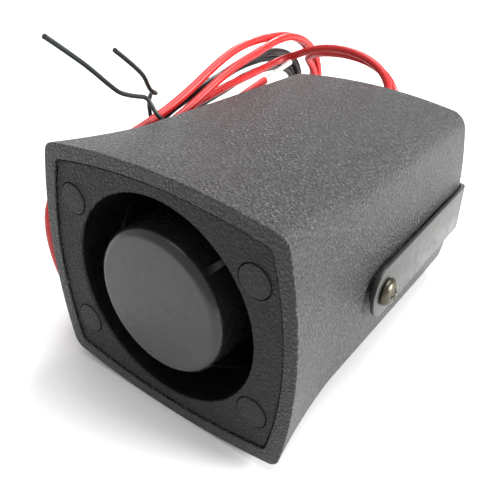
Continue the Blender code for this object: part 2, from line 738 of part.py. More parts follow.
def circuit(frame):
    low = (-BOARD_WIDTH / 2, BOARD_FRONT, -BOARD_HEIGHT / 2)
    high = (BOARD_WIDTH / 2, BOARD_BACK, BOARD_HEIGHT / 2)
    board = new_object("circuit_board", block("circuit_board", low, high), "board_laminate", frame)
    profile = screw_profile(2.3 * MM, 1.4 * MM, BOARD_SCREW_RADIUS, 9 * MM, 1 * MM)
    mesh = turned("board_screw", profile, 14)
    for name, side in (("left", -1), ("right", 1)):
        x, z = side * BOARD_POST_X, -side * BOARD_POST_Z
        hole = rod("hole", (x, BOARD_FRONT - WALL, z), (x, BOARD_BACK + WALL, z), BOARD_SCREW_RADIUS + SLIP, 12)
        boolean(board, hole, "DIFFERENCE")
        new_object(f"board_screw_{name}", mesh, "zinc_steel", frame, (x, BOARD_FRONT - GAP, z))
    back = BOARD_BACK + GAP
    can = [
        (back, 0),
        (back, 4.8 * MM),
        (back + 1.0 * MM, 5.0 * MM),
        (back + 11.6 * MM, 5.0 * MM),
        (back + 12.2 * MM, 4.4 * MM),
        (back + 12.2 * MM, 0),
    ]
    mesh = turned("capacitor", can, 24)
    new_object("capacitor", mesh, "capacitor_sleeve", frame, (0.19 * BOARD_WIDTH, 0, -9 * MM))
    coil = [
        (back, 0),
        (back, 6.4 * MM),
        (back + 1.2 * MM, 6.4 * MM),
        (back + 1.2 * MM, 5.0 * MM),
        (back + 7.8 * MM, 5.0 * MM),
        (back + 7.8 * MM, 6.4 * MM),
        (back + 9.0 * MM, 6.4 * MM),
        (back + 9.0 * MM, 0),
    ]
    new_object("inductor", turned("inductor", coil, 24), "ferrite", frame, (-0.167 * BOARD_WIDTH, 0, -7 * MM))
    front = BOARD_FRONT - GAP
    mesh = block("tone_chip", (-4.8 * MM, front - 3.4 * MM, -3.2 * MM), (4.8 * MM, front, 3.2 * MM))
    chip = new_object("tone_chip", mesh, "chip_epoxy", frame, (-4 * MM, 0, 8 * MM))
    bevel(chip, 0.3 * MM, 1)
    for k, x in enumerate((-9, 3)):
        mesh = block("power_transistor", (0, back, 0), (10.0 * MM, back + 4.4 * MM, 9.0 * MM))
        case = new_object(f"power_transistor_{k + 1}", mesh, "chip_epoxy", frame, (x * MM, 0, 4.5 * MM))
        bevel(case, 0.4 * MM, 1)
    mesh = rod("diode", (0, front - 1.7 * MM, 0), (7 * MM, front - 1.7 * MM, 0), 1.5 * MM, 14)
    new_object("diode", mesh, "chip_epoxy", frame, (5 * MM, 0, -6 * MM))


# ---------------------------------------------------------------- pivots and bracket


def pivots(frame):
    head_seat = BRACKET_OPEN_X + GAP + PIVOT_HEAD_RADIUS * bracket_slope()
    profile = screw_profile(
        PIVOT_HEAD_RADIUS, PIVOT_HEAD_HEIGHT, PIVOT_SHANK, PIVOT_SHANK_LENGTH, 2 * MM
    )
    mesh = turned("pivot_screw", profile, 28)
    washer = [
        (0, PIVOT_SHANK + GAP),
        (0, WASHER_RADIUS),
        (WASHER_THICKNESS, WASHER_RADIUS),
        (WASHER_THICKNESS, PIVOT_SHANK + GAP),
    ]
    washer_mesh = turned("pivot_washer", washer, 28)
    for name, side in (("left", -1), ("right", 1)):
        screw = new_object(
            f"pivot_screw_{name}", mesh, "dark_steel", frame, (side * head_seat, PIVOT_Y, PIVOT_Z)
        )
        screw.rotation_euler = (0, 0, side * math.pi / 2)
        inner = wall_x(PIVOT_Y) + GAP
        spacer = new_object(
            f"pivot_washer_{name}", washer_mesh, "nylon", frame, (side * inner, PIVOT_Y, PIVOT_Z)
        )
        spacer.rotation_euler = (0, 0, -side * math.pi / 2)
        slot = block(
            "slot",
            (PIVOT_HEAD_RADIUS * -0.5, -PIVOT_HEAD_HEIGHT - 1 * MM, -0.4 * MM),
            (PIVOT_HEAD_RADIUS * 0.5, -PIVOT_HEAD_HEIGHT * 0.45, 0.4 * MM),
        )
        across = block(
            "slot",
            (-0.4 * MM, -PIVOT_HEAD_HEIGHT - 1 * MM, PIVOT_HEAD_RADIUS * -0.5),
            (0.4 * MM, -PIVOT_HEAD_HEIGHT * 0.45, PIVOT_HEAD_RADIUS * 0.5),
        )
        boolean(screw, slot, "DIFFERENCE", screw)
        boolean(screw, across, "DIFFERENCE", screw)


def bracket_slope():
    return (BRACKET_OPEN_X - BRACKET_BASE_X) / BRACKET_REACH


def bracket(frame):
    """A U of sheet metal, turned about the pivot axis. Its own y axis runs from the pivots to the base."""
    pivot = new_empty("bracket_pivot", frame)
    pivot.location = (0, PIVOT_Y, PIVOT_Z)
    pivot.rotation_euler = (BRACKET_ANGLE, 0, 0)
    low, high = -BRACKET_WIDTH / 2, BRACKET_WIDTH / 2
    slope = bracket_slope()
    reach = BRACKET_REACH + BRACKET_THICKNESS

    def half_u(inset, back):
        """Half of the U's outline, from the open end to the middle of the base."""
        radius = BRACKET_BEND + BRACKET_THICKNESS - inset
        end_x = BRACKET_OPEN_X + slope * BRACKET_END - inset
        corner_x = BRACKET_OPEN_X - slope * back - inset
        points = [(end_x, -BRACKET_END)]
        centre = (corner_x - radius, back - radius)
        for turn in (0, 22.5, 45, 67.5, 90):
            angle = math.radians(turn)
            points.append((centre[0] + radius * math.cos(angle), centre[1] + radius * math.sin(angle)))
        return points

    outer = half_u(0, reach)
    inner = half_u(BRACKET_THICKNESS, reach - BRACKET_THICKNESS)
    half = outer + [(-x, y) for x, y in reversed(outer)] + [(-x, y) for x, y in inner] + inner[::-1]
    outline = [(x, y, low) for x, y in half]
    piece = new_object("bracket", extruded("bracket", outline, (0, 0, BRACKET_WIDTH)), "bracket_paint", pivot)
    for side in (-1, 1):
        for up in (-1, 1):
            tip = []
            steps = 6
            for k in range(steps + 1):
                angle = math.radians(90 * k / steps)
                tip.append((-BRACKET_END * math.cos(angle) * 1.0, high * math.sin(angle) * up))
            tip += [(-BRACKET_END * 0.0, high * 1.4 * up), (-BRACKET_END * 1.6, high * 1.4 * up)]
            tip += [(-BRACKET_END * 1.6, 0.0)]
            start = side * (BRACKET_OPEN_X - 4 * MM)
            points = [(start, y, z) for y, z in tip]
            boolean(piece, extruded("tip", points, (side * 8 * MM, 0, 0)), "DIFFERENCE")
        hole = rod("hole", (side * 25 * MM, 0, 0), (side * 40 * MM, 0, 0), PIVOT_SHANK + GAP, 16)
        boolean(piece, hole, "DIFFERENCE")
    for x in (-BOLT_SPACING / 2, 0, BOLT_SPACING / 2):
        hole = rod("hole", (x, BRACKET_REACH - 3 * MM, 0), (x, BRACKET_REACH + 3 * MM, 0), BOLT_HOLE_RADIUS, 20)
        boolean(piece, hole, "DIFFERENCE")
    piece.data.shade_smooth()
    piece.data.set_sharp_from_angle(angle=math.radians(30))


# ---------------------------------------------------------------- wiring


def through(points, count):
    """Points along one smooth curve through the given ones, evenly spread over its spans."""
    points = [Vector(point) for point in points]
    ends = [2 * points[0] - points[1]] + points + [2 * points[-1] - points[-2]]
    curve = []
    spans = len(points) - 1
    for k in range(spans):
        before, start, end, after = ends[k : k + 4]
        share = (end - start).length / sum((b - a).length for a, b in zip(points[:-1], points[1:]))
        steps = max(2, round(share * count))
        for i in range(steps):
            t = i / steps
            curve.append(
                0.5
                * (
                    2 * start
                    + (end - before) * t
                    + (2 * before - 5 * start + 4 * end - after) * t**2
                    + (3 * start - before - 3 * end + after) * t**3
                )
            )
    curve.append(points[-1])
    return curve


def wire(name, points, diameter, finish, parent, count, resolution=2):
    """A solid round wire along one smooth curve."""
    data = bpy.data.curves.new(name, "CURVE")
    data.dimensions = "3D"
    data.bevel_depth = diameter / 2
    data.bevel_resolution = resolution
    data.use_fill_caps = True
    spline = data.splines.new("POLY")
    route = through(points, count)
    spline.points.add(len(route) - 1)
    for point, place in zip(spline.points, route):
        point.co = (*place, 1)
    data.materials.append(material(finish))
    obj = bpy.data.objects.new(name, data)
    bpy.context.scene.collection.objects.link(obj)
    obj.parent = parent
    return obj


def grommet(frame):
    profile = [
        (LENGTH - WALL - GAP - GROMMET_FLANGE_THICKNESS, 0),
        (LENGTH - WALL - GAP - GROMMET_FLANGE_THICKNESS, GROMMET_NECK + 0.8 * MM),
        (LENGTH - WALL - GAP, GROMMET_FLANGE),
        (LENGTH - WALL - GAP, GROMMET_NECK),
        (LENGTH + GAP, GROMMET_NECK),
        (LENGTH + GAP, GROMMET_FLANGE),
        (EXIT_Y - 0.5 * MM, GROMMET_FLANGE),
        (EXIT_Y, GROMMET_FLANGE - 0.6 * MM),
        (EXIT_Y, 0),
    ]
    new_object("lead_grommet", turned("lead_grommet", profile, 24), "rubber", frame, (0, 0, GROMMET_Z))


def inner_wires(frame):
    start = LENGTH - WALL - GROMMET_FLANGE_THICKNESS - 3 * GAP
    side = LEAD_SPACING / 2
    board = BOARD_BACK + GAP
    for name, x, end in (("red", side, (14.5, 14.6)), ("black", -side, (-11.2, 15.6))):
        end_x, end_z = end[0] * MM, end[1] * MM
        points = [
            (x, start, GROMMET_Z),
            (x * 1.5, start - 5 * MM, GROMMET_Z + 0.6 * MM),
            (end_x * 0.9, board + 5.5 * MM, end_z + 0.2 * MM),
            (end_x, board + 0.4 * MM, end_z),
        ]
        wire(f"inner_wire_{name}", points, LEAD_DIAMETER, f"{name}_insulation", frame, 14)
    terminal = (TOP_PLATE_FRONT + TOP_PLATE_BACK) / 2
    for name, side in (("left", -1), ("right", 1)):
        x = side * (DRIVER_RADIUS + 1.2 * MM)
        points = [
            (side * 15.0 * MM, BOARD_FRONT - 3 * GAP, side * 7 * MM),
            (side * 18.5 * MM, BOARD_FRONT - 5 * MM, side * 7.2 * MM),
            (side * 22.0 * MM, YOKE_FRONT, side * 7.6 * MM),
            (side * 21.2 * MM, (MAGNET_FRONT + MAGNET_BACK) / 2, side * 7.6 * MM),
            (x * 0.955, terminal, side * 7.4 * MM),
        ]
        wire(f"coil_wire_{name}", points, THIN_WIRE_DIAMETER, "nylon", frame, 14)


# Routes of the free leads and the tie, chosen by hand in the scene's own metres
RED_LEAD_IN = [
    (0.0016, 0.0484, 0.0419),
    (0.0014, 0.0516, 0.0428),
    (0.0002, 0.0548, 0.0464),
    (-0.0034, 0.0569, 0.0502),
    (-0.0090, 0.0579, 0.0528),
    (-0.0160, 0.0586, 0.0539),
    (-0.0235, 0.0592, 0.0533),
    (-0.0305, 0.0597, 0.0514),
    (-0.0371, 0.0600, 0.0483),
]
RED_LOOP = [
    (-0.0371, 0.0644, 0.0464),
    (-0.0305, 0.0634, 0.0492),
    (-0.0235, 0.0624, 0.0508),
    (-0.0165, 0.0619, 0.0512),
    (-0.0096, 0.0616, 0.0502),
    (-0.0036, 0.0614, 0.0470),
    (0.0002, 0.0612, 0.0406),
    (0.0012, 0.0610, 0.0300),
    (-0.0010, 0.0610, 0.0160),
    (-0.0060, 0.0612, 0.0056),
    (-0.0135, 0.0616, 0.0018),
    (-0.0250, 0.0614, 0.0014),
    (-0.0315, 0.0608, 0.0015),
    (-0.0371, 0.0586, 0.0022),
]
RED_TAIL = [
    (-0.0360, 0.0110, 0.0406),
    (-0.0357, 0.0180, 0.0422),
    (-0.0355, 0.0300, 0.0447),
    (-0.0352, 0.0406, 0.0462),
]
RED_TIP = [
    (-0.0352, 0.0410, 0.0463),
    (-0.0352, 0.0480, 0.0473),
    (-0.0352, 0.0544, 0.0481),
]
BLACK_LEAD_IN = [
    (-0.0016, 0.0484, 0.0418),
    (-0.0022, 0.0518, 0.0420),
    (-0.0046, 0.0546, 0.0429),
    (-0.0090, 0.0562, 0.0440),
    (-0.0145, 0.0570, 0.0436),
    (-0.0205, 0.0572, 0.0414),
    (-0.0270, 0.0566, 0.0382),
    (-0.0325, 0.0554, 0.0348),
    (-0.0366, 0.0534, 0.0319),
]
BLACK_TAIL = [
    (-0.0363, 0.0544, 0.0068),
    (-0.0352, 0.0510, 0.0048),
    (-0.0345, 0.0455, 0.0026),
    (-0.0342, 0.0370, 0.0014),
    (-0.0342, 0.0270, 0.0014),
]
BLACK_TIP = [
    (-0.0342, 0.0266, 0.0014),
    (-0.0342, 0.0200, 0.0011),
    (-0.0342, 0.0140, 0.0010),
]
TWIST_TIE = [
    (-0.0352, -0.0356, 0.0792),
    (-0.0360, -0.0320, 0.0761),
    (-0.0372, -0.0246, 0.0693),
    (-0.0384, -0.0177, 0.0622),
    (-0.0390, -0.0141, 0.0590),
    (-0.0394, -0.0090, 0.0564),
    (-0.0395, -0.0056, 0.0550),
    (-0.0388, -0.0048, 0.0531),
    (-0.0374, -0.0049, 0.0510),
    (-0.0363, -0.0034, 0.0484),
    (-0.0359, -0.0006, 0.0450),
    (-0.0358, 0.0026, 0.0400),
    (-0.0358, 0.0040, 0.0330),
    (-0.0372, 0.0042, 0.0262),
    (-0.0424, 0.0040, 0.0256),
    (-0.0478, 0.0040, 0.0262),
    (-0.0490, 0.0040, 0.0325),
    (-0.0490, 0.0040, 0.0410),
    (-0.0490, 0.0038, 0.0480),
    (-0.0464, 0.0032, 0.0522),
    (-0.0430, 0.0014, 0.0530),
    (-0.0416, -0.0010, 0.0544),
    (-0.0412, -0.0026, 0.0562),
    (-0.0404, -0.0040, 0.0584),
    (-0.0388, -0.0066, 0.0616),
    (-0.0368, -0.0118, 0.0664),
    (-0.0352, -0.0175, 0.0714),
]
# The hank's outline seen from the siren's side, as (y, z) in metres
HANK_OUTLINE = [
    (-0.0365, 0.0436),
    (-0.0295, 0.0460),
    (-0.0200, 0.0468),
    (-0.0100, 0.0476),
    (0.0000, 0.0490),
    (0.0090, 0.0510),
    (0.0170, 0.0534),
    (0.0250, 0.0560),
    (0.0340, 0.0579),
    (0.0420, 0.0581),
    (0.0500, 0.0573),
    (0.0580, 0.0560),
    (0.0655, 0.0536),
    (0.0720, 0.0496),
    (0.0770, 0.0436),
    (0.0794, 0.0360),
    (0.0796, 0.0270),
    (0.0774, 0.0175),
    (0.0724, 0.0095),
    (0.0650, 0.0040),
    (0.0560, 0.0014),
    (0.0460, 0.0016),
    (0.0370, 0.0046),
    (0.0290, 0.0100),
    (0.0210, 0.0170),
    (0.0130, 0.0240),
    (0.0050, 0.0280),
    (-0.0030, 0.0250),
    (-0.0090, 0.0165),
    (-0.0145, 0.0080),
    (-0.0215, 0.0028),
    (-0.0290, 0.0018),
    (-0.0360, 0.0054),
    (-0.0406, 0.0126),
    (-0.0424, 0.0220),
    (-0.0426, 0.0310),
    (-0.0410, 0.0384),
]


def leads():
    insulation = LEAD_DIAMETER
    wire("red_lead_loop_in", RED_LEAD_IN, insulation, "red_insulation", None, 20)
    wire("red_lead_loop_back", RED_LOOP, insulation, "red_insulation", None, 34)
    wire("red_lead_tail", RED_TAIL, insulation, "red_insulation", None, 8)
    wire("red_lead_tip", RED_TIP, CORE_DIAMETER, "tinned_copper", None, 4)
    wire("black_lead_in", BLACK_LEAD_IN, insulation, "black_insulation", None, 20)
    wire("black_lead_tail", BLACK_TAIL, insulation, "black_insulation", None, 8)
    wire("black_lead_tip", BLACK_TIP, CORE_DIAMETER, "tinned_copper", None, 4)
    wire("twist_tie", TWIST_TIE, TIE_DIAMETER, "tie_plastic", None, 60)
    closed = HANK_OUTLINE
    outline = [(HANK_INNER_X, y, z) for y, z in closed]
    mesh = extruded("lead_hank", outline, (-HANK_THICKNESS, 0, 0))
    hank = new_object("lead_hank", mesh, "lead_bundle", None)
    bevel(hank, 1.6 * MM, 2, 60)


# ---------------------------------------------------------------- standing on the surface


def rest_tilt():
    """The slope at which the flared front and the tapered rear both touch a flat surface."""
    front = FACE_HALF_HEIGHT + FACE_BULGE_TOP
    rear_y = LENGTH - REAR_EDGE
    rear = half_height(rear_y) + top_bulge(rear_y)
    return math.atan((front - rear) / (rear_y - FRONT_EDGE))


def stand(frame, own):
    """Tilts the siren onto the surface and centres its own pieces over the origin."""
    frame.rotation_euler = (-rest_tilt(), 0, 0)
    bpy.context.view_layer.update()
    graph = bpy.context.evaluated_depsgraph_get()
    points = []
    for obj in own:
        shown = obj.evaluated_get(graph)
        mesh = shown.to_mesh()
        points += [shown.matrix_world @ vertex.co for vertex in mesh.vertices]
        shown.to_mesh_clear()
    middle = (min(p.y for p in points) + max(p.y for p in points)) / 2
    frame.location = (0, -middle, -min(p.z for p in points))


def main():
    clear_scene()
    frame = new_empty("siren_frame")
    housing(frame)
    horn_panel(frame)
    plugs(frame)
    panel_screws(frame)
    sound_cup(frame)
    throat_tube(frame)
    driver(frame)
    circuit(frame)
    pivots(frame)
    bracket(frame)
    grommet(frame)
    inner_wires(frame)
    own = [obj for obj in bpy.data.objects if obj.type in ("MESH", "CURVE") and not obj.hide_render]
    stand(frame, own)
    leads()


main()
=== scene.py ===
"""Looks for the horn alarm siren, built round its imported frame."""

import json
import math

import bmesh
import bpy
from mathutils import Matrix, Vector
from mathutils.geometry import interpolate_bezier


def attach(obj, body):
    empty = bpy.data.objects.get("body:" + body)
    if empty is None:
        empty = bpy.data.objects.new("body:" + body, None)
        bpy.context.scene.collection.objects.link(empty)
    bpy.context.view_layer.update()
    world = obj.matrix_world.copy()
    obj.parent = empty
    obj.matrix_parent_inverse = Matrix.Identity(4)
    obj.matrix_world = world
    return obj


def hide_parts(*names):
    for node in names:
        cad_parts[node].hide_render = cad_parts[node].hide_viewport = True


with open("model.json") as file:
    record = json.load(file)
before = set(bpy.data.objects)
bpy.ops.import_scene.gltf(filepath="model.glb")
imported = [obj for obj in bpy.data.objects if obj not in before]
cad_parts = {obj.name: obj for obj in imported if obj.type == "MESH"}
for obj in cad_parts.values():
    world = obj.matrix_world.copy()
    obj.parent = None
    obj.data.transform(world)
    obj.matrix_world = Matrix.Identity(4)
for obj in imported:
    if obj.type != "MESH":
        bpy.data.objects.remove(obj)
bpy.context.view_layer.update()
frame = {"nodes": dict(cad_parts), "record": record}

MM = 0.001
SIREN, BRACKET = "siren", "bracket"

# The siren's own axes: x to the right of someone facing the mouth, y from the mouth to the rear wall, z up
TILT = math.radians(3.57473)
SIREN_PLACE = Matrix.Translation((0, -0.045, 0.03109)) @ Matrix.Rotation(-TILT, 4, "X")
BRACKET_ANGLE = math.radians(0.5)
PIVOT = Vector((0, 39.694 * MM, -3.8 * MM))
BRACKET_PLACE = SIREN_PLACE @ Matrix.Translation(PIVOT) @ Matrix.Rotation(BRACKET_ANGLE, 4, "X")

LENGTH = 89.0 * MM
WALL = 2.4 * MM
LEAD = 2.4 * MM
TIE = 1.2 * MM
QUARTER = math.pi / 2


# ---------------------------------------------------------------- camera

# Where the camera stands and looks, in the siren's own axes
CAMERA_PLACE = (81.25 * MM, -75.74 * MM, 83.52 * MM)
CAMERA_AHEAD = (-0.5092, 0.6705, -0.5395)
CAMERA_RIGHT = (0.7902, 0.6126, 0.0155)
LENS, SENSOR_WIDTH = 46.26, 36
SHIFT_X, SHIFT_Y = 0.0044, 0.0033


def make_camera():
    data = bpy.data.cameras.new("camera")
    data.lens = LENS
    data.sensor_width = SENSOR_WIDTH
    data.shift_x = SHIFT_X
    data.shift_y = SHIFT_Y
    data.clip_start = 0.005
    data.clip_end = 20
    camera = bpy.data.objects.new("camera", data)
    bpy.context.scene.collection.objects.link(camera)
    ahead = Vector(CAMERA_AHEAD).normalized()
    right = Vector(CAMERA_RIGHT)
    right = (right - right.dot(ahead) * ahead).normalized()
    up = right.cross(ahead)
    turn = Matrix((right, up, -ahead)).transposed().to_4x4()
    camera.matrix_world = SIREN_PLACE @ Matrix.Translation(CAMERA_PLACE) @ turn
    bpy.context.scene.camera = camera


make_camera()


# ---------------------------------------------------------------- mesh helpers

MERGE = 1e-7


def link(name, data, finish, body, place=None):
    """A new object in the scene, riding a body of the frame where one is named."""
    obj = bpy.data.objects.new(name, data)
    bpy.context.scene.collection.objects.link(obj)
    if place is not None:
        obj.matrix_world = place
    if finish is not None:
        data.materials.append(finish)
    if body:
        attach(obj, body)
    return obj


def clean(name, bm, angle=40):
    """The bmesh as a finished mesh, smooth but for edges sharper than the angle in degrees."""
    bmesh.ops.remove_doubles(bm, verts=bm.verts, dist=MERGE)
    bmesh.ops.recalc_face_normals(bm, faces=bm.faces)
    mesh = bpy.data.meshes.new(name)
    bm.to_mesh(mesh)
    bm.free()
    mesh.shade_smooth()
    mesh.set_sharp_from_angle(angle=math.radians(angle))
    return mesh


def skin(bm, near, far):
    """Faces between two loops of equally many vertices."""
    for i, start in enumerate(near):
        j = (i + 1) % len(near)
        bm.faces.new((start, near[j], far[j], far[i]))


def bridged(bm, rings):
    """A closed solid through equal rings of points, with a face on each end."""
    loops = [[bm.verts.new(point) for point in ring] for ring in rings]
    for near, far in zip(loops[:-1], loops[1:]):
        skin(bm, near, far)
    bm.faces.new(loops[0])
    bm.faces.new(loops[-1])


def lathe(name, profile, segments=96, angle=30):
    """A solid turned about the y axis from a closed outline of (y, radius) points."""
    bm = bmesh.new()
    points = [bm.verts.new((radius, y, 0)) for y, radius in profile]
    edges = [bm.edges.new((points[i], points[(i + 1) % len(points)])) for i in range(len(points))]
    bmesh.ops.spin(
        bm, geom=points + edges, cent=(0, 0, 0), axis=(0, 1, 0), angle=math.tau, steps=segments
    )
    bmesh.ops.remove_doubles(bm, verts=bm.verts, dist=MERGE)
    bmesh.ops.dissolve_degenerate(bm, edges=bm.edges, dist=1e-8)
    loose = [edge for edge in bm.edges if not edge.link_faces]
    bmesh.ops.delete(bm, geom=loose, context="EDGES")
    return clean(name, bm, angle)


def rounded(points, radius, steps=4):
    """A closed (y, radius) outline with its corners rounded, kept sharp on the axis."""
    longest_share = 0.45
    out = []
    count = len(points)
    for i, here in enumerate(points):
        here = Vector(here)
        before, after = Vector(points[i - 1]), Vector(points[(i + 1) % count])
        if here.y < 1e-9:
            out.append(tuple(here))
            continue
        nearest = min((before - here).length, (after - here).length)
        reach = min(radius, nearest * longest_share)
        start = here + (before - here).normalized() * reach
        end = here + (after - here).normalized() * reach
        for k in range(steps + 1):
            t = k / steps
            spot = start.lerp(here, t).lerp(here.lerp(end, t), t)
            out.append(tuple(spot))
    return out


def cylinder(start, end, radius, segments):
    start, end = Vector(start), Vector(end)
    line = end - start
    bm = bmesh.new()
    bmesh.ops.create_cone(
        bm, cap_ends=True, segments=segments, radius1=radius, radius2=radius, depth=line.length
    )
    turn = line.to_track_quat("Z", "Y").to_matrix().to_4x4()
    bmesh.ops.transform(bm, matrix=Matrix.Translation((start + end) / 2) @ turn, verts=bm.verts)
    return clean("cutter", bm)


def cut(obj, mesh, operation="DIFFERENCE"):
    """Applies a Boolean and leaves only its result."""
    tool = link("cutter", mesh, None, None, obj.matrix_world)
    step = obj.modifiers.new("cut", "BOOLEAN")
    step.operation = operation
    step.solver = "EXACT"
    step.object = tool
    apply(obj)
    bpy.data.objects.remove(tool)


def apply(obj):
    """Turns the object's modifiers into its mesh."""
    graph = bpy.context.evaluated_depsgraph_get()
    mesh = bpy.data.meshes.new_from_object(obj.evaluated_get(graph))
    obj.modifiers.clear()
    obj.data = mesh


def bevel(obj, width, angle):
    """Rounds the edges sharper than the angle in degrees."""
    step = obj.modifiers.new("bevel", "BEVEL")
    step.width = width
    step.segments = 2
    step.limit_method = "ANGLE"
    step.angle_limit = math.radians(angle)
    apply(obj)
    obj.data.shade_smooth()
    obj.data.set_sharp_from_angle(angle=math.radians(angle))


def quarter_turn(steps):
    """Angles from 0 to a right angle, both included."""
    return [QUARTER * k / steps for k in range(steps + 1)]


# ---------------------------------------------------------------- sections of the housing

FACE_HALF_WIDTH, FACE_HALF_HEIGHT = 32.0 * MM, 28.3 * MM
REAR_HALF_WIDTH, REAR_HALF_HEIGHT = 27.85 * MM, 23.3 * MM
SIDE_TAPER, TOP_TAPER = 0.0212, 0.0333
FLARE_LENGTH, BULGE_LENGTH = 26.0 * MM, 22.4 * MM
SIDE_FLARE_POWER, TOP_FLARE_POWER = 2.1, 1.3
FACE_BULGE_X, FACE_BULGE_Z, BODY_BULGE = 3.5 * MM, 2.9 * MM, 2.4 * MM
FACE_CORNER, BODY_CORNER, LEAST_CORNER = 2.2 * MM, 3.4 * MM, 0.3 * MM
CORNER_HOLD = 0.56
SIDE_STEPS, CORNER_STEPS = 20, 8
RIM_WIDTH = 3.2 * MM
RIM_CORNER = 1.0 * MM


def flare_share(y):
    """1 at the face, falling to 0 where the flare ends."""
    return max(0.0, 1.0 - y / FLARE_LENGTH)


def half_width(y):
    flare = FACE_HALF_WIDTH - REAR_HALF_WIDTH - SIDE_TAPER * LENGTH
    return REAR_HALF_WIDTH + SIDE_TAPER * (LENGTH - y) + flare * flare_share(y) ** SIDE_FLARE_POWER


def half_height(y):
    flare = FACE_HALF_HEIGHT - REAR_HALF_HEIGHT - TOP_TAPER * LENGTH
    return REAR_HALF_HEIGHT + TOP_TAPER * (LENGTH - y) + flare * flare_share(y) ** TOP_FLARE_POWER


def mix(front, body, y):
    """A size that passes evenly from its value at the face to its value on the body."""
    return front + (body - front) * min(1.0, max(0.0, y / BULGE_LENGTH))


def section(y, inset=0.0, corner=None, at=None):
    """The closed outline of the housing at y: a rectangle with bulging sides and round corners.

    It can be placed at another y than the one whose size it has.
    """
    wide, high = half_width(y) - inset, half_height(y) - inset
    bulge_x, bulge_z = mix(FACE_BULGE_X, BODY_BULGE, y), mix(FACE_BULGE_Z, BODY_BULGE, y)
    radius = corner
    if corner is None:
        radius = max(LEAST_CORNER, mix(FACE_CORNER, BODY_CORNER, y) - inset)
    reach_x, reach_z = wide - radius, high - radius
    steps = [2 * k / SIDE_STEPS - 1 for k in range(SIDE_STEPS + 1)]
    top = [(reach_x * s, high + bulge_z * (1 - (reach_x * s / wide) ** 2)) for s in steps]
    side = [(wide + bulge_x * (1 - (reach_z * s / high) ** 2), reach_z * s) for s in reversed(steps)]
    start, end = Vector(top[-1]), Vector(side[0])
    slope_top = -2 * bulge_z * reach_x / wide**2
    slope_side = -2 * bulge_x * reach_z / high**2
    rise = end - start
    knee = start + (rise.x - slope_side * rise.y) / (1 - slope_side * slope_top) * Vector((1, slope_top))
    arc = interpolate_bezier(
        start.to_3d(),
        start.lerp(knee, CORNER_HOLD).to_3d(),
        end.lerp(knee, CORNER_HOLD).to_3d(),
        end.to_3d(),
        CORNER_STEPS,
    )
    quarter = [(point.x, point.y) for point in arc[1:-1]]
    right = quarter + side + [(x, -z) for x, z in reversed(quarter)]
    bottom = [(x, -z) for x, z in reversed(top)]
    left = [(-x, -z) for x, z in right]
    place = y if at is None else at
    return [(x, place, z) for x, z in top + right + bottom + left]


# ---------------------------------------------------------------- materials

# The part of a noise texture's 0 to 1 that it really fills
NOISE_LOW, NOISE_HIGH = 0.3, 0.7


class Nodes:
    """Short calls for building one material's node tree."""

    def __init__(self, name, colour, roughness, metallic=0.0):
        self.material = bpy.data.materials.new(name)
        self.material.use_nodes = True
        self.tree = self.material.node_tree
        self.shader = self.tree.nodes["Principled BSDF"]
        self.shader.inputs["Base Color"].default_value = (*colour, 1)
        self.shader.inputs["Roughness"].default_value = roughness
        self.shader.inputs["Metallic"].default_value = metallic
        self.material.diffuse_color = (*colour, 1)
        self.place = self.add("ShaderNodeTexCoord").outputs["Object"]
        self.roughness = roughness
        self.normal = None

    def add(self, kind, **settings):
        node = self.tree.nodes.new(kind)
        for key, value in settings.items():
            setattr(node, key, value)
        return node

    def put(self, socket, value):
        if isinstance(value, bpy.types.NodeSocket):
            self.tree.links.new(value, socket)
        else:
            socket.default_value = value

    def stretched(self, scale, turn=(0, 0, 0)):
        node = self.add("ShaderNodeMapping")
        node.inputs["Scale"].default_value = scale
        node.inputs["Rotation"].default_value = turn
        self.put(node.inputs["Vector"], self.place)
        return node.outputs["Vector"]

    def noise(self, scale, detail=3.0, rough=0.55, place=None):
        node = self.add("ShaderNodeTexNoise")
        node.inputs["Scale"].default_value = scale
        node.inputs["Detail"].default_value = detail
        node.inputs["Roughness"].default_value = rough
        self.put(node.inputs["Vector"], place or self.place)
        return node.outputs["Fac"]

    def creases(self, scale, place):
        """The distance to the nearest border between random cells."""
        node = self.add("ShaderNodeTexVoronoi", feature="DISTANCE_TO_EDGE")
        node.inputs["Scale"].default_value = scale
        self.put(node.inputs["Vector"], place)
        return node.outputs["Distance"]

    def ranged(self, value, low, high, to_low=0.0, to_high=1.0):
        node = self.add("ShaderNodeMapRange")
        for index, item in enumerate((value, low, high, to_low, to_high)):
            self.put(node.inputs[index], item)
        return node.outputs["Result"]

    def maths(self, operation, a, b=0.0):
        node = self.add("ShaderNodeMath", operation=operation)
        self.put(node.inputs[0], a)
        self.put(node.inputs[1], b)
        return node.outputs["Value"]

    def blend(self, factor, a, b):
        node = self.add("ShaderNodeMix", data_type="RGBA")
        self.put(node.inputs["Factor"], factor)
        self.put(node.inputs[6], (*a, 1) if isinstance(a, tuple) else a)
        self.put(node.inputs[7], (*b, 1) if isinstance(b, tuple) else b)
        return node.outputs[2]

    def colour(self, value):
        self.put(self.shader.inputs["Base Color"], value)

    def mottled(self, patches, strength, colour, other):
        """The colour, with patches of the other one at the given strength."""
        self.colour(self.blend(self.maths("MULTIPLY", patches, strength), colour, other))

    def uneven_gloss(self, scale, detail, down, up):
        """Roughness that wanders from a little below its own value to a little above."""
        low, high = self.roughness - down, self.roughness + up
        value = self.ranged(self.noise(scale, detail), NOISE_LOW, NOISE_HIGH, low, high)
        self.put(self.shader.inputs["Roughness"], value)

    def bump(self, height, depth, strength):
        """Adds one layer of relief; height is 0 to 1 and depth is in metres."""
        node = self.add("ShaderNodeBump")
        node.inputs["Strength"].default_value = strength
        node.inputs["Distance"].default_value = depth
        self.put(node.inputs["Height"], height)
        if self.normal is not None:
            self.put(node.inputs["Normal"], self.normal)
        self.normal = node.outputs["Normal"]
        self.put(self.shader.inputs["Normal"], self.normal)


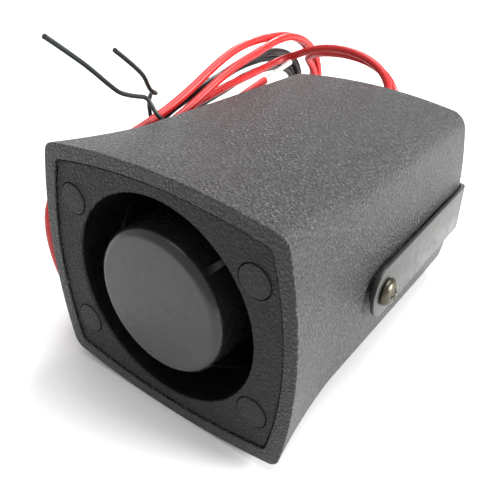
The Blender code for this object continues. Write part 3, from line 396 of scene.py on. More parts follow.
def scaled(colour, factor, lift=0.0):
    return tuple(min(1, c * factor + lift) for c in colour)


def moulded_grain(name, colour, roughness, grain=950, depth=0.0005, crease_shade=0.55, specular=0.5):
    """Moulded plastic with a pebbled leather grain whose creases carry painted shade below the pebbles, and
    faint mottling.
    """
    n = Nodes(name, colour, roughness)
    drift = 0.6 * MM
    wander = n.add("ShaderNodeVectorMath", operation="MULTIPLY_ADD")
    warp = n.add("ShaderNodeTexNoise")
    warp.inputs["Scale"].default_value = 1300
    warp.inputs["Detail"].default_value = 2
    n.put(warp.inputs["Vector"], n.place)
    n.put(wander.inputs[0], warp.outputs["Color"])
    wander.inputs[1].default_value = (drift, drift, drift)
    n.put(wander.inputs[2], n.place)
    pebble = n.ranged(n.creases(grain, wander.outputs["Vector"]), 0.0, 0.34)
    fine = n.noise(3200, 3, 0.6)
    relief = n.maths("ADD", n.maths("MULTIPLY", pebble, 0.8), n.maths("MULTIPLY", fine, 0.35))
    n.bump(relief, depth, 1.0)
    dust = n.ranged(n.noise(95, 5, 0.65), 0.35, 0.75)
    base = n.blend(n.maths("MULTIPLY", dust, 0.5), colour, scaled(colour, 1.25, 0.002))
    # Painted shade: the colour darkens in the grain's creases, where shade would fall.
    n.colour(n.blend(pebble, scaled(colour, 1 - crease_shade), base))
    n.uneven_gloss(1500, 3, 0.1, 0.12)
    n.shader.inputs["Specular IOR Level"].default_value = specular
    return n.material


def smooth_plastic(name, colour, roughness, swirl=0.00001):
    """Satin moulded plastic with fine scuffs and a little dust."""
    n = Nodes(name, colour, roughness)
    dust = n.ranged(n.noise(150, 6, 0.7), 0.45, 0.8)
    n.mottled(dust, 0.35, colour, scaled(colour, 1.8, 0.01))
    n.uneven_gloss(380, 4, 0.06, 0.1)
    n.bump(n.noise(2600, 3), swirl, 0.5)
    n.bump(n.noise(1.0, 2, place=n.stretched((900, 90, 900), (0, 0.6, 0.3))), swirl * 1.5, 0.3)
    return n.material


def painted_sheet(name, colour, roughness):
    """Painted sheet steel: a soft orange peel and faint rubbed patches."""
    n = Nodes(name, colour, roughness)
    n.bump(n.noise(900, 2), 0.00002, 0.35)
    n.bump(n.noise(3800, 2), 0.00001, 0.3)
    rubbed = n.ranged(n.noise(160, 5, 0.65), 0.5, 0.8)
    n.mottled(rubbed, 0.25, colour, scaled(colour, 1.6))
    n.uneven_gloss(300, 3, 0.05, 0.08)
    return n.material


def plated(name, colour, roughness, turned=900):
    """Plated or turned metal: fine rings of tool marks, spots of tarnish."""
    n = Nodes(name, colour, roughness, 1.0)
    marks = n.noise(1.0, 2, place=n.stretched((200, turned * 3, 200)))
    n.bump(marks, 0.00001, 0.4)
    spots = n.ranged(n.noise(800, 5, 0.7), 0.5, 0.75)
    n.mottled(spots, 0.6, colour, scaled(colour, 0.55))
    n.uneven_gloss(1500, 3, 0.08, 0.15)
    return n.material


def insulation(name, colour, roughness):
    """Extruded PVC: a soft gloss, faint draw lines and a little grime."""
    n = Nodes(name, colour, roughness)
    grime = n.ranged(n.noise(260, 5, 0.65), 0.45, 0.8)
    n.mottled(grime, 0.35, colour, scaled(colour, 0.55))
    n.uneven_gloss(500, 3, 0.06, 0.12)
    n.bump(n.noise(1400, 2), 0.00002, 0.35)
    n.shader.inputs["Subsurface Weight"].default_value = 0.08
    n.shader.inputs["Subsurface Scale"].default_value = 0.0008
    return n.material


def speckled(name, colour, other, roughness, scale, depth=0.00002):
    """Cast or pressed material with two mixed tones."""
    n = Nodes(name, colour, roughness)
    n.colour(n.blend(n.ranged(n.noise(scale, 5, 0.7), 0.4, 0.65), colour, other))
    n.uneven_gloss(scale * 2, 3, 0.08, 0.1)
    n.bump(n.noise(scale * 1.7, 4), depth, 0.6)
    return n.material


# By the record's material slots
FINISH = {
    "housing_plastic": moulded_grain("housing_plastic", (0.028, 0.029, 0.031), 0.36),
    # panel_plastic and plug_plastic are darker than the housing. This is painted shade for the front face,
    # which takes less light than the top and sides.
    "panel_plastic": moulded_grain(
        "panel_plastic", (0.017, 0.0175, 0.018), 0.5, grain=1000, depth=0.00035, crease_shade=0.5, specular=0.3
    ),
    "plug_plastic": moulded_grain(
        "plug_plastic", (0.015, 0.0155, 0.016), 0.5, grain=1000, depth=0.0002, crease_shade=0.3, specular=0.3
    ),
    "cup_plastic": smooth_plastic("cup_plastic", (0.012, 0.0125, 0.014), 0.24),
    "inner_plastic": smooth_plastic("inner_plastic", (0.005, 0.005, 0.006), 0.3, 0.000003),
    "bracket_paint": painted_sheet("bracket_paint", (0.03, 0.031, 0.029), 0.33),
    "dark_steel": plated("dark_steel", (0.085, 0.078, 0.058), 0.30),
    "zinc_steel": plated("zinc_steel", (0.55, 0.55, 0.52), 0.32),
    "plain_steel": plated("plain_steel", (0.42, 0.42, 0.43), 0.4),
    "tinned_copper": plated("tinned_copper", (0.78, 0.75, 0.72), 0.28),
    "copper": plated("copper", (0.72, 0.36, 0.20), 0.35, 2400),
    "ferrite": speckled("ferrite", (0.05, 0.05, 0.055), (0.09, 0.09, 0.09), 0.6, 1200, 0.00004),
    "film": speckled("film", (0.50, 0.36, 0.16), (0.58, 0.44, 0.22), 0.4, 500),
    "rubber": speckled("rubber", (0.016, 0.016, 0.017), (0.028, 0.028, 0.028), 0.62, 1500, 0.00004),
    "nylon": speckled("nylon", (0.55, 0.55, 0.50), (0.63, 0.62, 0.58), 0.5, 700),
    "board_laminate": speckled("board_laminate", (0.30, 0.19, 0.07), (0.40, 0.27, 0.11), 0.5, 900),
    "capacitor_sleeve": insulation("capacitor_sleeve", (0.02, 0.03, 0.10), 0.35),
    "chip_epoxy": speckled("chip_epoxy", (0.015, 0.015, 0.016), (0.03, 0.03, 0.03), 0.5, 2500),
    "red_insulation": insulation("red_insulation", (0.50, 0.010, 0.010), 0.3),
    "black_insulation": insulation("black_insulation", (0.012, 0.012, 0.013), 0.3),
    "tie_plastic": insulation("tie_plastic", (0.012, 0.018, 0.014), 0.42),
}

for part in frame["record"]["subparts"]:
    node = frame["nodes"].get(part["node"])
    finish = FINISH.get(part["material_slot"])
    if node and finish:
        node.data.materials.clear()
        node.data.materials.append(finish)

# ---------------------------------------------------------------- routes, in metres

RED_EXIT = (0.0016, 0.0468, 0.0420)
BLACK_EXIT = (-0.0016, 0.0468, 0.0419)
RED_LEAD_IN = [
    (0.0016, 0.0484, 0.0419),
    (0.0014, 0.0516, 0.0428),
    (0.0002, 0.0548, 0.0464),
    (-0.0034, 0.0569, 0.0502),
    (-0.0090, 0.0579, 0.0528),
    (-0.0160, 0.0586, 0.0539),
    (-0.0235, 0.0592, 0.0533),
    (-0.0305, 0.0597, 0.0514),
    (-0.0371, 0.0600, 0.0483),
]
RED_LOOP = [
    (-0.0371, 0.0644, 0.0464),
    (-0.0305, 0.0634, 0.0492),
    (-0.0235, 0.0624, 0.0508),
    (-0.0165, 0.0619, 0.0512),
    (-0.0096, 0.0616, 0.0502),
    (-0.0036, 0.0614, 0.0470),
    (0.0002, 0.0612, 0.0406),
    (0.0012, 0.0610, 0.0300),
    (-0.0010, 0.0610, 0.0160),
    (-0.0060, 0.0612, 0.0056),
    (-0.0135, 0.0616, 0.0018),
    (-0.0250, 0.0614, 0.0014),
    (-0.0315, 0.0608, 0.0015),
    (-0.0371, 0.0586, 0.0022),
]
RED_TAIL = [
    (-0.0360, 0.0110, 0.0406),
    (-0.0357, 0.0180, 0.0422),
    (-0.0355, 0.0300, 0.0447),
    (-0.0352, 0.0406, 0.0462),
]
RED_TIP = [
    (-0.0352, 0.0410, 0.0463),
    (-0.0352, 0.0480, 0.0473),
    (-0.0352, 0.0544, 0.0481),
]
BLACK_LEAD_IN = [
    (-0.0016, 0.0484, 0.0418),
    (-0.0022, 0.0518, 0.0420),
    (-0.0046, 0.0546, 0.0429),
    (-0.0090, 0.0562, 0.0440),
    (-0.0145, 0.0570, 0.0436),
    (-0.0205, 0.0572, 0.0414),
    (-0.0270, 0.0566, 0.0382),
    (-0.0325, 0.0554, 0.0348),
    (-0.0366, 0.0534, 0.0319),
]
BLACK_TAIL = [
    (-0.0363, 0.0544, 0.0068),
    (-0.0352, 0.0510, 0.0048),
    (-0.0345, 0.0455, 0.0026),
    (-0.0342, 0.0370, 0.0014),
    (-0.0342, 0.0270, 0.0014),
]
BLACK_TIP = [
    (-0.0342, 0.0266, 0.0014),
    (-0.0342, 0.0200, 0.0011),
    (-0.0342, 0.0140, 0.0010),
]
TWIST_TIE = [
    (-0.0352, -0.0356, 0.0792),
    (-0.0360, -0.0320, 0.0761),
    (-0.0372, -0.0246, 0.0693),
    (-0.0384, -0.0177, 0.0622),
    (-0.0390, -0.0141, 0.0590),
    (-0.0394, -0.0090, 0.0564),
    (-0.0395, -0.0056, 0.0550),
    (-0.0388, -0.0048, 0.0531),
    (-0.0374, -0.0049, 0.0510),
    (-0.0363, -0.0034, 0.0484),
    (-0.0359, -0.0006, 0.0450),
    (-0.0358, 0.0026, 0.0400),
    (-0.0358, 0.0040, 0.0330),
    (-0.0372, 0.0042, 0.0262),
    (-0.0424, 0.0040, 0.0256),
    (-0.0478, 0.0040, 0.0262),
    (-0.0490, 0.0040, 0.0325),
    (-0.0490, 0.0040, 0.0410),
    (-0.0490, 0.0038, 0.0480),
    (-0.0464, 0.0032, 0.0522),
    (-0.0430, 0.0014, 0.0530),
    (-0.0416, -0.0010, 0.0544),
    (-0.0412, -0.0026, 0.0562),
    (-0.0404, -0.0040, 0.0584),
    (-0.0388, -0.0066, 0.0616),
    (-0.0368, -0.0118, 0.0664),
    (-0.0352, -0.0175, 0.0714),
]
# The hank's outline seen from the siren's side, as (y, z)
HANK_OUTLINE = [
    (-0.0365, 0.0436),
    (-0.0295, 0.0460),
    (-0.0200, 0.0468),
    (-0.0100, 0.0476),
    (0.0000, 0.0490),
    (0.0090, 0.0510),
    (0.0170, 0.0534),
    (0.0250, 0.0560),
    (0.0340, 0.0579),
    (0.0420, 0.0581),
    (0.0500, 0.0573),
    (0.0580, 0.0560),
    (0.0655, 0.0536),
    (0.0720, 0.0496),
    (0.0770, 0.0436),
    (0.0794, 0.0360),
    (0.0796, 0.0270),
    (0.0774, 0.0175),
    (0.0724, 0.0095),
    (0.0650, 0.0040),
    (0.0560, 0.0014),
    (0.0460, 0.0016),
    (0.0370, 0.0046),
    (0.0290, 0.0100),
    (0.0210, 0.0170),
    (0.0130, 0.0240),
    (0.0050, 0.0280),
    (-0.0030, 0.0250),
    (-0.0090, 0.0165),
    (-0.0145, 0.0080),
    (-0.0215, 0.0028),
    (-0.0290, 0.0018),
    (-0.0360, 0.0054),
    (-0.0406, 0.0126),
    (-0.0424, 0.0220),
    (-0.0426, 0.0310),
    (-0.0410, 0.0384),
]


# ---------------------------------------------------------------- leads, worked out in millimetres

# The strands of the hank lie in columns away from the siren and rows inwards from its outline
RING_STEP, RING_SMOOTHINGS = 1.2, 6
FIRST_COLUMN_X, COLUMN_GAP = -38.75, 2.42
FIRST_ROW, ROW_GAP = 1.35, 2.5
RING_STRIDE = 4


def spline_part(before, start, end, after, steps):
    """Points from start up to end, without it, on the Catmull-Rom curve through all four."""
    square = 2 * before - 5 * start + 4 * end - after
    cube = 3 * start - before - 3 * end + after
    shares = [k / steps for k in range(steps)]
    return [0.5 * (2 * start + (end - before) * t + square * t**2 + cube * t**3) for t in shares]


def outline_ring():
    """The hank's outline as a dense, smooth closed ring of (y, z)."""
    base = [Vector((y, z)) / MM for y, z in HANK_OUTLINE]
    count = len(base)
    ring = []
    for i in range(count):
        corners = [base[(i + k) % count] for k in (-1, 0, 1, 2)]
        steps = max(2, round((corners[2] - corners[1]).length / RING_STEP))
        ring += spline_part(*corners, steps)
    for _ in range(RING_SMOOTHINGS):
        ring = [(ring[i - 1] + 2 * ring[i] + ring[(i + 1) % len(ring)]) / 4 for i in range(len(ring))]
    return ring


HANK_RING = outline_ring()


def ring_index(y, top):
    """The ring's point nearest one y, on its upper or its lower side."""
    best = None
    for i, point in enumerate(HANK_RING):
        after = HANK_RING[(i + 1) % len(HANK_RING)]
        if (after.x > point.x) != top:
            continue
        if best is None or abs(point.x - y) < abs(HANK_RING[best].x - y):
            best = i
    return best


def ring_place(i, column, row):
    """A strand's centre at one place along the ring: column counts away from the siren, row inwards."""
    count = len(HANK_RING)
    here = HANK_RING[i % count]
    ahead = HANK_RING[(i + RING_STRIDE) % count] - HANK_RING[(i - RING_STRIDE) % count]
    inward = Vector((ahead.y, -ahead.x)).normalized()
    spot = here + inward * (FIRST_ROW + ROW_GAP * row)
    return Vector((FIRST_COLUMN_X - COLUMN_GAP * column, spot.x, spot.y))


def along_ring(start, end, step, keys):
    """Strand centres from one ring index to another; keys are (index, column, row) as travelled."""
    count = len(HANK_RING)
    points = []
    span = (end - start) * step % count or count
    travelled = [((i - start) * step % count, column, row) for i, column, row in keys]
    for k in range(0, span + 1, RING_STRIDE):
        before = max((item for item in travelled if item[0] <= k), default=travelled[0])
        after = min((item for item in travelled if item[0] > k), default=before)
        share = 0.0 if after[0] == before[0] else (k - before[0]) / (after[0] - before[0])
        share = share * share * (3 - 2 * share)
        column = before[1] + (after[1] - before[1]) * share
        row = before[2] + (after[2] - before[2]) * share
        points.append(ring_place(start + k * step, column, row))
    return points


def smooth_route(points, spacing=2.4):
    """Evenly spaced points along a smooth curve near the given ones, with the same two ends."""
    sample, smoothings = 0.4, 10
    ends = [2 * points[0] - points[1]] + points + [2 * points[-1] - points[-2]]
    dense = []
    for k in range(len(points) - 1):
        corners = ends[k : k + 4]
        steps = max(3, round((corners[2] - corners[1]).length / sample))
        dense += spline_part(*corners, steps)
    dense.append(points[-1])
    for _ in range(smoothings):
        inner = range(2, len(dense) - 2)
        dense[2:-2] = [(dense[i - 1] + 2 * dense[i] + dense[i + 1]) / 4 for i in inner]
    total = sum((b - a).length for a, b in zip(dense[:-1], dense[1:]))
    count = round(total / spacing)
    out, reached, k = [dense[0]], 0.0, 0
    for n in range(1, count):
        want = total * n / count
        while reached + (dense[k + 1] - dense[k]).length < want:
            reached += (dense[k + 1] - dense[k]).length
            k += 1
        gap = (dense[k + 1] - dense[k]).length
        out.append(dense[k].lerp(dense[k + 1], (want - reached) / gap))
    out.append(dense[-1])
    return out


def lead_curve(name, points, diameter, finish):
    """A round lead of the siren's body, along points in millimetres."""
    data = bpy.data.curves.new(name, "CURVE")
    data.dimensions = "3D"
    data.bevel_depth = diameter / 2
    data.bevel_resolution = 6
    data.use_fill_caps = True
    data.twist_smooth = 4
    spline = data.splines.new("POLY")
    spline.points.add(len(points) - 1)
    for point, place in zip(spline.points, points):
        point.co = (*(place * MM), 1)
    spline.use_smooth = True
    data.materials.append(finish)
    obj = bpy.data.objects.new(name, data)
    bpy.context.scene.collection.objects.link(obj)
    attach(obj, SIREN)
    return obj


def places(*rows):
    """Points given in millimetres."""
    return [Vector(row) for row in rows]


def routed(rows):
    """Points given in metres, as millimetres."""
    return [Vector(row) / MM for row in rows]


def red_route():
    """From the grommet round the hank, in a loop behind the siren, and along the hank to the bare end."""
    low, rear_low, rear_up = ring_index(4, False), ring_index(45, False), ring_index(76, True)
    top_rear, middle, first = ring_index(58, True), ring_index(36, True), ring_index(12, True)
    points = routed([RED_EXIT] + RED_LEAD_IN)
    points += places((-40.4, 57.0, 47.2), (-41.2, 51.5, 46.7), (-41.2, 42.0, 46.6))
    points += places((-41.2, 30.0, 46.6), (-41.2, 20.0, 46.2))
    points += along_ring(first, top_rear, -1, [(first, 1, 2), (rear_low, 1, 2), (rear_up, 1, 0)])
    points += along_ring(top_rear, low, -1, [(top_rear, 1, 0)])[1:]
    points += along_ring(low, top_rear, -1, [(low, 1, 0), (rear_low, 1, 0), (rear_up, 0, 0)])[1:]
    turned = [(top_rear, 0, 0.1), (middle, 0, 1.3), (first, 0, 1), (ring_index(70, False), 0, 1)]
    points += along_ring(top_rear, ring_index(76, False), -1, turned)[1:]
    points += places((-38.8, 75.8, 32.0), (-38.5, 73.4, 39.6), (-38.1, 69.4, 44.6))
    points += routed(RED_LOOP[1:])
    points += places((-38.6, 55.4, 2.8), (-38.0, 50.0, 3.6))
    start, near, inner = ring_index(46, False), ring_index(32, False), ring_index(18, False)
    end = ring_index(-8, True)
    points += along_ring(start, end, 1, [(start, -0.85, 0.4), (near, -0.7, 2.2), (inner, 0, 3)])
    points += places((-38.6, -2.0, 38.6), (-38.3, 3.0, 38.9), (-37.2, 7.5, 39.7))
    points += routed(RED_TAIL)
    return points


def black_route():
    """From the grommet round the hank and on to the bare end near the floor."""
    start, late, low = ring_index(18, False), ring_index(44, False), ring_index(60, False)
    waist, raised, top = ring_index(8, True), ring_index(32, True), ring_index(58, True)
    rear, end = ring_index(76, True), ring_index(70, False)
    points = routed([BLACK_EXIT] + BLACK_LEAD_IN)
    points += places((-40.6, 50.0, 29.2), (-42.8, 45.0, 27.2), (-43.6, 37.0, 26.0), (-43.6, 30.0, 26.2))
    first = [(start, 2, 3), (waist, 2, 3), (raised, 2, 4.6), (top, 2, 4.2), (low, 3, 2)]
    second = [(late, 3, 2), (waist, 3, 2), (raised, 3, 3.6), (top, 3, 3.2), (low, 2, 1)]
    third = [(late, 2, 1), (waist, 2, 1.1), (raised, 2, 2.6), (top, 2, 2.2)]
    points += along_ring(start, late, 1, first)
    points += along_ring(late, late, 1, second)[1:]
    points += along_ring(late, rear, 1, third)[1:]
    points += along_ring(rear, end, 1, [(rear, 2, 2.2), (end, 1.2, 4)])[1:]
    points += places((-38.8, 58.6, 10.0))
    points += routed(BLACK_TAIL)
    return points


# ---------------------------------------------------------------- visible pieces

SLIP = 0.3 * MM
PANEL_SINK, PANEL_BACK = 0.4 * MM, 3.0 * MM
MOUTH_RADIUS, HORN_DEPTH, HORN_NECK = 24.9 * MM, 29.6 * MM, 7.0 * MM
PLUG_X, PLUG_Z, PLUG_RADIUS = 25.0 * MM, 16.6 * MM, 3.7 * MM
CUP_RADIUS, CUP_PROUD, CUP_EDGE = 17.5 * MM, 0.9 * MM, 2.2 * MM
CORNERS = {
    "top_left": (-PLUG_X, PLUG_Z),
    "top_right": (PLUG_X, PLUG_Z),
    "bottom_left": (-PLUG_X, -PLUG_Z),
    "bottom_right": (PLUG_X, -PLUG_Z),
}
BRACKET_OPEN_X, BRACKET_BASE_X, BRACKET_REACH = 33.6 * MM, 31.55 * MM, 50.106 * MM
BRACKET_SLOPE = (BRACKET_OPEN_X - BRACKET_BASE_X) / BRACKET_REACH


def siren_piece(name, mesh, slot, place=Matrix()):
    """A new visible piece standing for the CAD node of the same name."""
    obj = link(name + "_look", mesh, FINISH[slot], SIREN, SIREN_PLACE @ place)
    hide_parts(name)
    return obj


def inner_finish(obj, chosen):
    """Gives the dark inner finish to the faces chosen by the radius and y of their middle."""
    obj.data.materials.append(FINISH["inner_plastic"])
    for face in obj.data.polygons:
        middle = face.center
        if chosen(math.hypot(middle.x, middle.z), middle.y):
            face.material_index = 1


def housing():
    rear_edge, front_edge, rim = 1.2 * MM, 0.4 * MM, 0.14 * MM
    ledge_inset, ledge_front, ledge_back = 3.8 * MM, 3.3 * MM, 5.4 * MM
    pocket_end = 6.0 * MM
    outside = []
    for turn in (90, 60, 30):
        angle = math.radians(turn)
        inset = front_edge * (1 - math.cos(angle))
        outside.append(section(0, inset=inset, at=front_edge * (1 - math.sin(angle))))
    # The rings crowd towards the face, where the flare curves most
    outside += [section(LENGTH * (0.0045 + 0.9 * (k / 40) ** 1.5)) for k in range(41)]
    outside += [section(LENGTH * 0.95), section(LENGTH - rear_edge)]
    for turn in (15, 30, 45, 60, 75, 90):
        angle = math.radians(turn)
        inset = rear_edge * (1 - math.cos(angle))
        y = LENGTH - rear_edge * (1 - math.sin(angle))
        outside.append(section(y, inset=inset, corner=BODY_CORNER))
    inside = [section(LENGTH - WALL, inset=WALL, corner=BODY_CORNER)]
    inside += [section(LENGTH * share, inset=WALL) for share in (0.75, 0.5, 0.3, 0.2, 0.12)]
    inside += [section(pocket_end, inset=WALL, corner=FACE_CORNER)]
    inside += [section(0, inset=ledge_inset, corner=RIM_CORNER, at=y) for y in (ledge_back, ledge_front)]
    inside += [section(0, inset=RIM_WIDTH, corner=RIM_CORNER, at=y) for y in (ledge_front, rim)]
    inside += [section(0, inset=RIM_WIDTH - rim, corner=RIM_CORNER, at=0)]
    bm = bmesh.new()
    loops = [[bm.verts.new(point) for point in ring] for ring in outside + inside]
    # The last ring joins the first at the rim; the rear wall has a face outside and one inside instead
    rear_out, rear_in = len(outside) - 1, len(outside)
    for k, near in enumerate(loops):
        if k != rear_out:
            skin(bm, near, loops[(k + 1) % len(loops)])
    bm.faces.new(loops[rear_out])
    bm.faces.new(loops[rear_in])
    siren_piece("housing", clean("housing_look", bm, 40), "housing_plastic")


def horn_profile():
    """The horn's inside from the mouth to the neck, as (y, radius)."""
    curve = interpolate_bezier(
        Vector((PANEL_SINK, MOUTH_RADIUS, 0)),
        Vector((HORN_DEPTH * 0.62, MOUTH_RADIUS * 0.985, 0)),
        Vector((HORN_DEPTH, MOUTH_RADIUS * 0.78, 0)),
        Vector((HORN_DEPTH, HORN_NECK, 0)),
        28,
    )
    return [(point.x, point.y) for point in curve]


def horn_panel():
    bm = bmesh.new()
    inset, edge = RIM_WIDTH + SLIP, 0.12 * MM
    corner = RIM_CORNER - SLIP
    rings = [
        section(0, inset=inset + edge, corner=corner, at=PANEL_SINK),
        section(0, inset=inset, corner=corner, at=PANEL_SINK + edge),
        section(0, inset=inset, corner=corner, at=PANEL_BACK),
    ]
    bridged(bm, rings)
    mesh = clean("horn_panel_look", bm)
    panel = link("horn_panel_look", mesh, FINISH["panel_plastic"], SIREN, SIREN_PLACE)
    inner = horn_profile()
    wall, bowl_front = 1.5 * MM, 1.4 * MM
    outer = [(max(y + wall * min(1.0, y / HORN_DEPTH) ** 2, bowl_front), r + wall) for y, r in inner[:-1]]
    outer += [(HORN_DEPTH + wall, HORN_NECK)]
    cut(panel, lathe("bowl", inner + outer[::-1], 128), "UNION")
    lip = 0.5 * MM
    rim = [(PANEL_SINK - 0.01 * MM, MOUTH_RADIUS + lip)]
    for turn in (30, 60, 90):
        angle = math.radians(turn)
        rim.append((PANEL_SINK + lip * (1 - math.cos(angle)), MOUTH_RADIUS + lip * (1 - math.sin(angle))))
    inside = [(y, r) for y, r in inner[1:-1] if y > PANEL_SINK + lip]
    bore = [(-WALL, 0), (-WALL, MOUTH_RADIUS + lip)] + rim + inside
    bore += [(HORN_DEPTH, HORN_NECK), (HORN_DEPTH + 2 * WALL, HORN_NECK), (HORN_DEPTH + 2 * WALL, 0)]
    cut(panel, lathe("bore", bore, 128))
    pocket, seam = 2.2 * MM, 0.22 * MM
    for x, z in CORNERS.values():
        cut(panel, cylinder((x, -WALL, z), (x, PANEL_SINK + pocket, z), PLUG_RADIUS + seam, 64))
    past_lip = 0.2 * MM
    inner_finish(panel, lambda radius, y: radius < MOUTH_RADIUS + past_lip and y > PANEL_SINK + past_lip)
    panel.data.shade_smooth()
    panel.data.set_sharp_from_angle(angle=math.radians(35))
    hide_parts("horn_panel")


def plugs():
    thick, proud, edge = 1.3 * MM, 0.25 * MM, 0.35 * MM
    outline = [(0, 0), (0, PLUG_RADIUS), (thick, PLUG_RADIUS), (thick, 0)]
    profile = rounded(outline, edge)
    for name, (x, z) in CORNERS.items():
        place = Matrix.Translation((x, PANEL_SINK - proud, z))
        siren_piece(f"plug_{name}", lathe(f"plug_{name}", profile, 64), "plug_plastic", place)


def horn_radius(y):
    """The horn's inner radius at y."""
    horn = horn_profile()
    for (y0, r0), (y1, r1) in zip(horn[:-1], horn[1:]):
        if y0 <= y <= y1:
            return r0 + (r1 - r0) * (y - y0) / (y1 - y0)
    return HORN_NECK


def vane_outline(root):
    """A vane's outline as (y, radius), from the root inside the cup's wall to just short of the horn."""
    start, meet, last, gap = 2.4 * MM, 12.5 * MM, 21.0 * MM, 0.4 * MM
    passage = MOUTH_RADIUS - CUP_RADIUS
    outline = [(start, root), (start, CUP_RADIUS)]
    for share, height in ((0.16, 0.19), (0.38, 0.41), (0.60, 0.61), (0.75, 0.72)):
        outline.append((start + (meet - start) * share, CUP_RADIUS + passage * height))
    outline += [(y, horn_radius(y) - gap) for y in (meet, (meet + last) / 2, last)]
    return outline + [(last, root)]


def sound_cup():
    end, wall, draft = 23.6 * MM, 2.2 * MM, 0.4 * MM
    face_back, knee = 1.3 * MM, 3 * MM
    vanes, vane_thick = 4, 1.5 * MM
    edge = [
        (-CUP_PROUD + CUP_EDGE * (1 - math.cos(turn)), CUP_RADIUS - CUP_EDGE + CUP_EDGE * math.sin(turn))
        for turn in quarter_turn(12)
    ]
    inner = CUP_RADIUS - wall
    profile = [(-CUP_PROUD, 0)] + edge + [(end, CUP_RADIUS + draft), (end, inner + draft)]
    profile += [(face_back + knee, inner), (face_back, inner - knee), (face_back, 0)]
    mesh = lathe("sound_cup", profile, 128)
    cup = link("sound_cup_look", mesh, FINISH["cup_plastic"], SIREN, SIREN_PLACE)
    outline = vane_outline(CUP_RADIUS - wall / 2)
    for k in range(vanes):
        turn = Matrix.Rotation(math.tau * (k + 0.5) / vanes, 4, "Y")
        bm = bmesh.new()
        flats = [side * vane_thick / 2 for side in (-1, 1)]
        bridged(bm, [[turn @ Vector((r, y, flat)) for y, r in outline] for flat in flats])
        cut(cup, clean("vane", bm), "UNION")
    bevel(cup, 0.12 * MM, 50)
    beyond_cup = CUP_RADIUS + 0.6 * MM
    inner_finish(cup, lambda radius, y: radius > beyond_cup)
    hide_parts("sound_cup")


def bracket_side(arm_end, thick, inset, back):
    """Half of the U seen from above, as (x, y): the arm's end, then the round bend into the base."""
    bend = 1.2 * MM
    radius = bend + thick - inset
    middle_x = BRACKET_OPEN_X - BRACKET_SLOPE * back - inset - radius
    middle_y = back - radius
    points = [(BRACKET_OPEN_X + BRACKET_SLOPE * arm_end - inset, -arm_end)]
    for turn in quarter_turn(12):
        points.append((middle_x + radius * math.cos(turn), middle_y + radius * math.sin(turn)))
    return points


def bracket():
    thick, wide, arm_end = 1.0 * MM, 13.1 * MM, 6.0 * MM
    hole_radius, hole_pitch = 2.6 * MM, 18 * MM
    outer = bracket_side(arm_end, thick, 0, BRACKET_REACH + thick)
    inner = bracket_side(arm_end, thick, thick, BRACKET_REACH)
    whole = outer + [(-x, y) for x, y in reversed(outer)] + [(-x, y) for x, y in inner] + inner[::-1]
    bm = bmesh.new()
    bridged(bm, [[(x, y, side * wide / 2) for x, y in whole] for side in (-1, 1)])
    mesh = clean("bracket_look", bm, 30)
    piece = link("bracket_look", mesh, FINISH["bracket_paint"], BRACKET, BRACKET_PLACE)
    # Each arm's end is rounded by cutting off what lies outside an arc
    within, beyond = 29 * MM, 38 * MM
    past_z, past_y = wide * 0.7, arm_end * 1.6
    for side in (-1, 1):
        for up in (-1, 1):
            tip = [(-arm_end * math.cos(turn), up * wide / 2 * math.sin(turn)) for turn in quarter_turn(16)]
            tip += [(0, up * past_z), (-past_y, up * past_z), (-past_y, 0)]
            bm = bmesh.new()
            bridged(bm, [[(side * x, y, z) for y, z in tip] for x in (within, beyond)])
            cut(piece, clean("tip", bm))
    for x in (-hole_pitch, 0, hole_pitch):
        start, end = (x, BRACKET_REACH - 3 * MM, 0), (x, BRACKET_REACH + 4 * MM, 0)
        cut(piece, cylinder(start, end, hole_radius, 48))
    bevel(piece, 0.16 * MM, 40)
    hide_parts("bracket")


def screw_profile(head, tall):
    """A domed screw along y, as (y, radius), with its seat at y = 0."""
    shank, shank_end, point_end, point = 1.75 * MM, 8 * MM, 10 * MM, 0.5 * MM
    dome = [(-tall * math.cos(t) ** 0.8, head * math.sin(t) ** 0.9) for t in quarter_turn(14)[1:-1]]
    profile = [(-tall, 0)] + dome + [(-0.15 * MM, head), (0, head * 0.98), (0, shank)]
    return profile + [(shank_end, shank), (point_end, point), (point_end, 0)]


def cross_slots(screw, tall):
    """Cuts the two crossed slots, each narrowing along its length towards its floor."""
    half_long, half_thin = 2.0 * MM, 0.36 * MM
    levels = ((-tall - 1 * MM, 1.3), (-tall * 0.35, 0.45))
    for upright in (False, True):
        rings = []
        for y, share in levels:
            x, z = half_long * share, half_thin
            if upright:
                x, z = z, x
            rings.append([(-x, y, -z), (x, y, -z), (x, y, z), (-x, y, z)])
        bm = bmesh.new()
        bridged(bm, rings)
        cut(screw, clean("slot", bm))


def pivots():
    head, tall = 3.5 * MM, 2.0 * MM
    hole, washer_radius, washer_thick = 2.05 * MM, 4.2 * MM, 0.5 * MM
    profile = screw_profile(head, tall)
    ring = [(0, hole), (0, washer_radius), (washer_thick, washer_radius), (washer_thick, hole)]
    seat_x = BRACKET_OPEN_X + 0.3 * MM + head * BRACKET_SLOPE
    washer_x = REAR_HALF_WIDTH + SIDE_TAPER * (LENGTH - PIVOT.y) + BODY_BULGE + SLIP
    for name, side in (("left", -1), ("right", 1)):
        turn = Matrix.Rotation(side * QUARTER, 4, "Z")
        place = Matrix.Translation((side * seat_x, PIVOT.y, PIVOT.z)) @ turn
        screw = siren_piece(f"pivot_screw_{name}", lathe("pivot_screw", profile, 64), "dark_steel", place)
        cross_slots(screw, tall)
        turn = Matrix.Rotation(-side * QUARTER, 4, "Z")
        place = Matrix.Translation((side * washer_x, PIVOT.y, PIVOT.z)) @ turn
        mesh = lathe("pivot_washer", rounded(ring, 0.1 * MM), 64)
        siren_piece(f"pivot_washer_{name}", mesh, "rubber", place)


def twist_tie():
    points = smooth_route(routed(TWIST_TIE), 1.0)
    tie = lead_curve("twist_tie_look", points, TIE, FINISH["tie_plastic"])
    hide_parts("twist_tie")


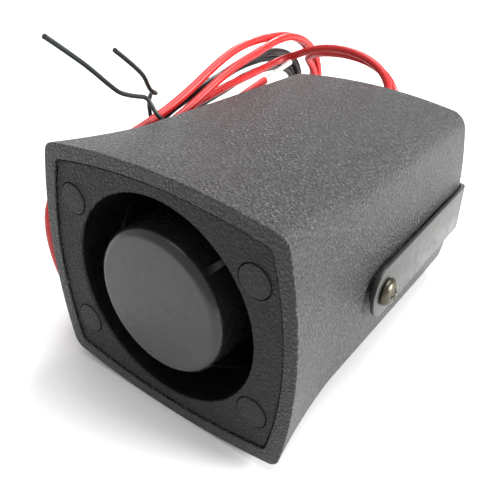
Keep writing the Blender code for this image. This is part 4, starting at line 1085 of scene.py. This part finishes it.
def bare_strands(name, route, node):
    """Six tinned strands twisted round a seventh, as one mesh of closed tubes."""
    spacing = 0.5
    strand, turns_per_mm, fraying = 0.26, 0.09, 0.25
    points = smooth_route(routed(route), spacing)
    round_strand = [math.tau * j / 10 for j in range(10)]
    bm = bmesh.new()
    for k in range(7):
        rings = []
        for i, here in enumerate(points):
            ahead = (points[min(i + 1, len(points) - 1)] - points[max(i - 1, 0)]).normalized()
            across = ahead.cross(Vector((0, 0, 1))).normalized()
            over = across.cross(ahead)
            angle = math.tau * (k / 6 + turns_per_mm * spacing * i)
            fray = 1 + fraying * (i / len(points)) ** 3
            out = 0 if k == 6 else 2 * strand * fray * 0.98
            centre = here + (across * math.cos(angle) + over * math.sin(angle)) * out
            rim = [(across * math.cos(t) + over * math.sin(t)) * strand for t in round_strand]
            rings.append([(centre + arm) * MM for arm in rim])
        bridged(bm, rings)
    tip = link(f"{name}_tip_strands", clean(f"{name}_tip", bm, 60), FINISH["tinned_copper"], SIREN)
    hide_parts(node)
    return tip


def free_leads():
    red = lead_curve("red_lead", smooth_route(red_route()), LEAD, FINISH["red_insulation"])
    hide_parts("red_lead_loop_in", "red_lead_loop_back", "red_lead_tail", "lead_hank")
    red_tip = bare_strands("red_lead", RED_TIP, "red_lead_tip")
    black = lead_curve("black_lead", smooth_route(black_route()), LEAD, FINISH["black_insulation"])
    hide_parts("black_lead_in", "black_lead_tail")
    black_tip = bare_strands("black_lead", BLACK_TIP, "black_lead_tip")


housing()
horn_panel()
plugs()
sound_cup()
bracket()
pivots()
twist_tie()
free_leads()


# ---------------------------------------------------------------- floor and light

FLOOR_REACH = 3
LAMP_AIM = Vector((0, 0, 0.03))


def floor():
    bm = bmesh.new()
    bmesh.ops.create_grid(bm, x_segments=1, y_segments=1, size=FLOOR_REACH)
    sheet = link("floor", clean("floor", bm), None, None)
    n = Nodes("floor", (0.86, 0.86, 0.86), 0.5)
    n.colour(n.blend(n.noise(8, 3), (0.85, 0.85, 0.85), (0.88, 0.88, 0.875)))
    sheet.data.materials.append(n.material)


def studio():
    world = bpy.data.worlds.new("studio")
    world.use_nodes = True
    background = world.node_tree.nodes["Background"]
    background.inputs["Color"].default_value = (1, 1, 1, 1)
    background.inputs["Strength"].default_value = 0.72
    bpy.context.scene.world = world
    bpy.context.scene.view_settings.view_transform = "Standard"


def lamp(name, place, size, power):
    """A round lamp aimed at the siren."""
    data = bpy.data.lights.new(name, "AREA")
    data.shape = "DISK"
    data.size = size
    data.energy = power
    light = bpy.data.objects.new(name, data)
    light.location = place
    light.rotation_euler = (LAMP_AIM - Vector(place)).to_track_quat("-Z", "Y").to_euler()
    bpy.context.scene.collection.objects.link(light)


floor()
studio()
lamp("overhead", (-0.05, 0.30, 0.95), 0.9, 9)
lamp("side", (0.75, 0.25, 0.30), 0.35, 13)
lamp("glint", (-0.45, 0.75, 0.55), 0.25, 4)
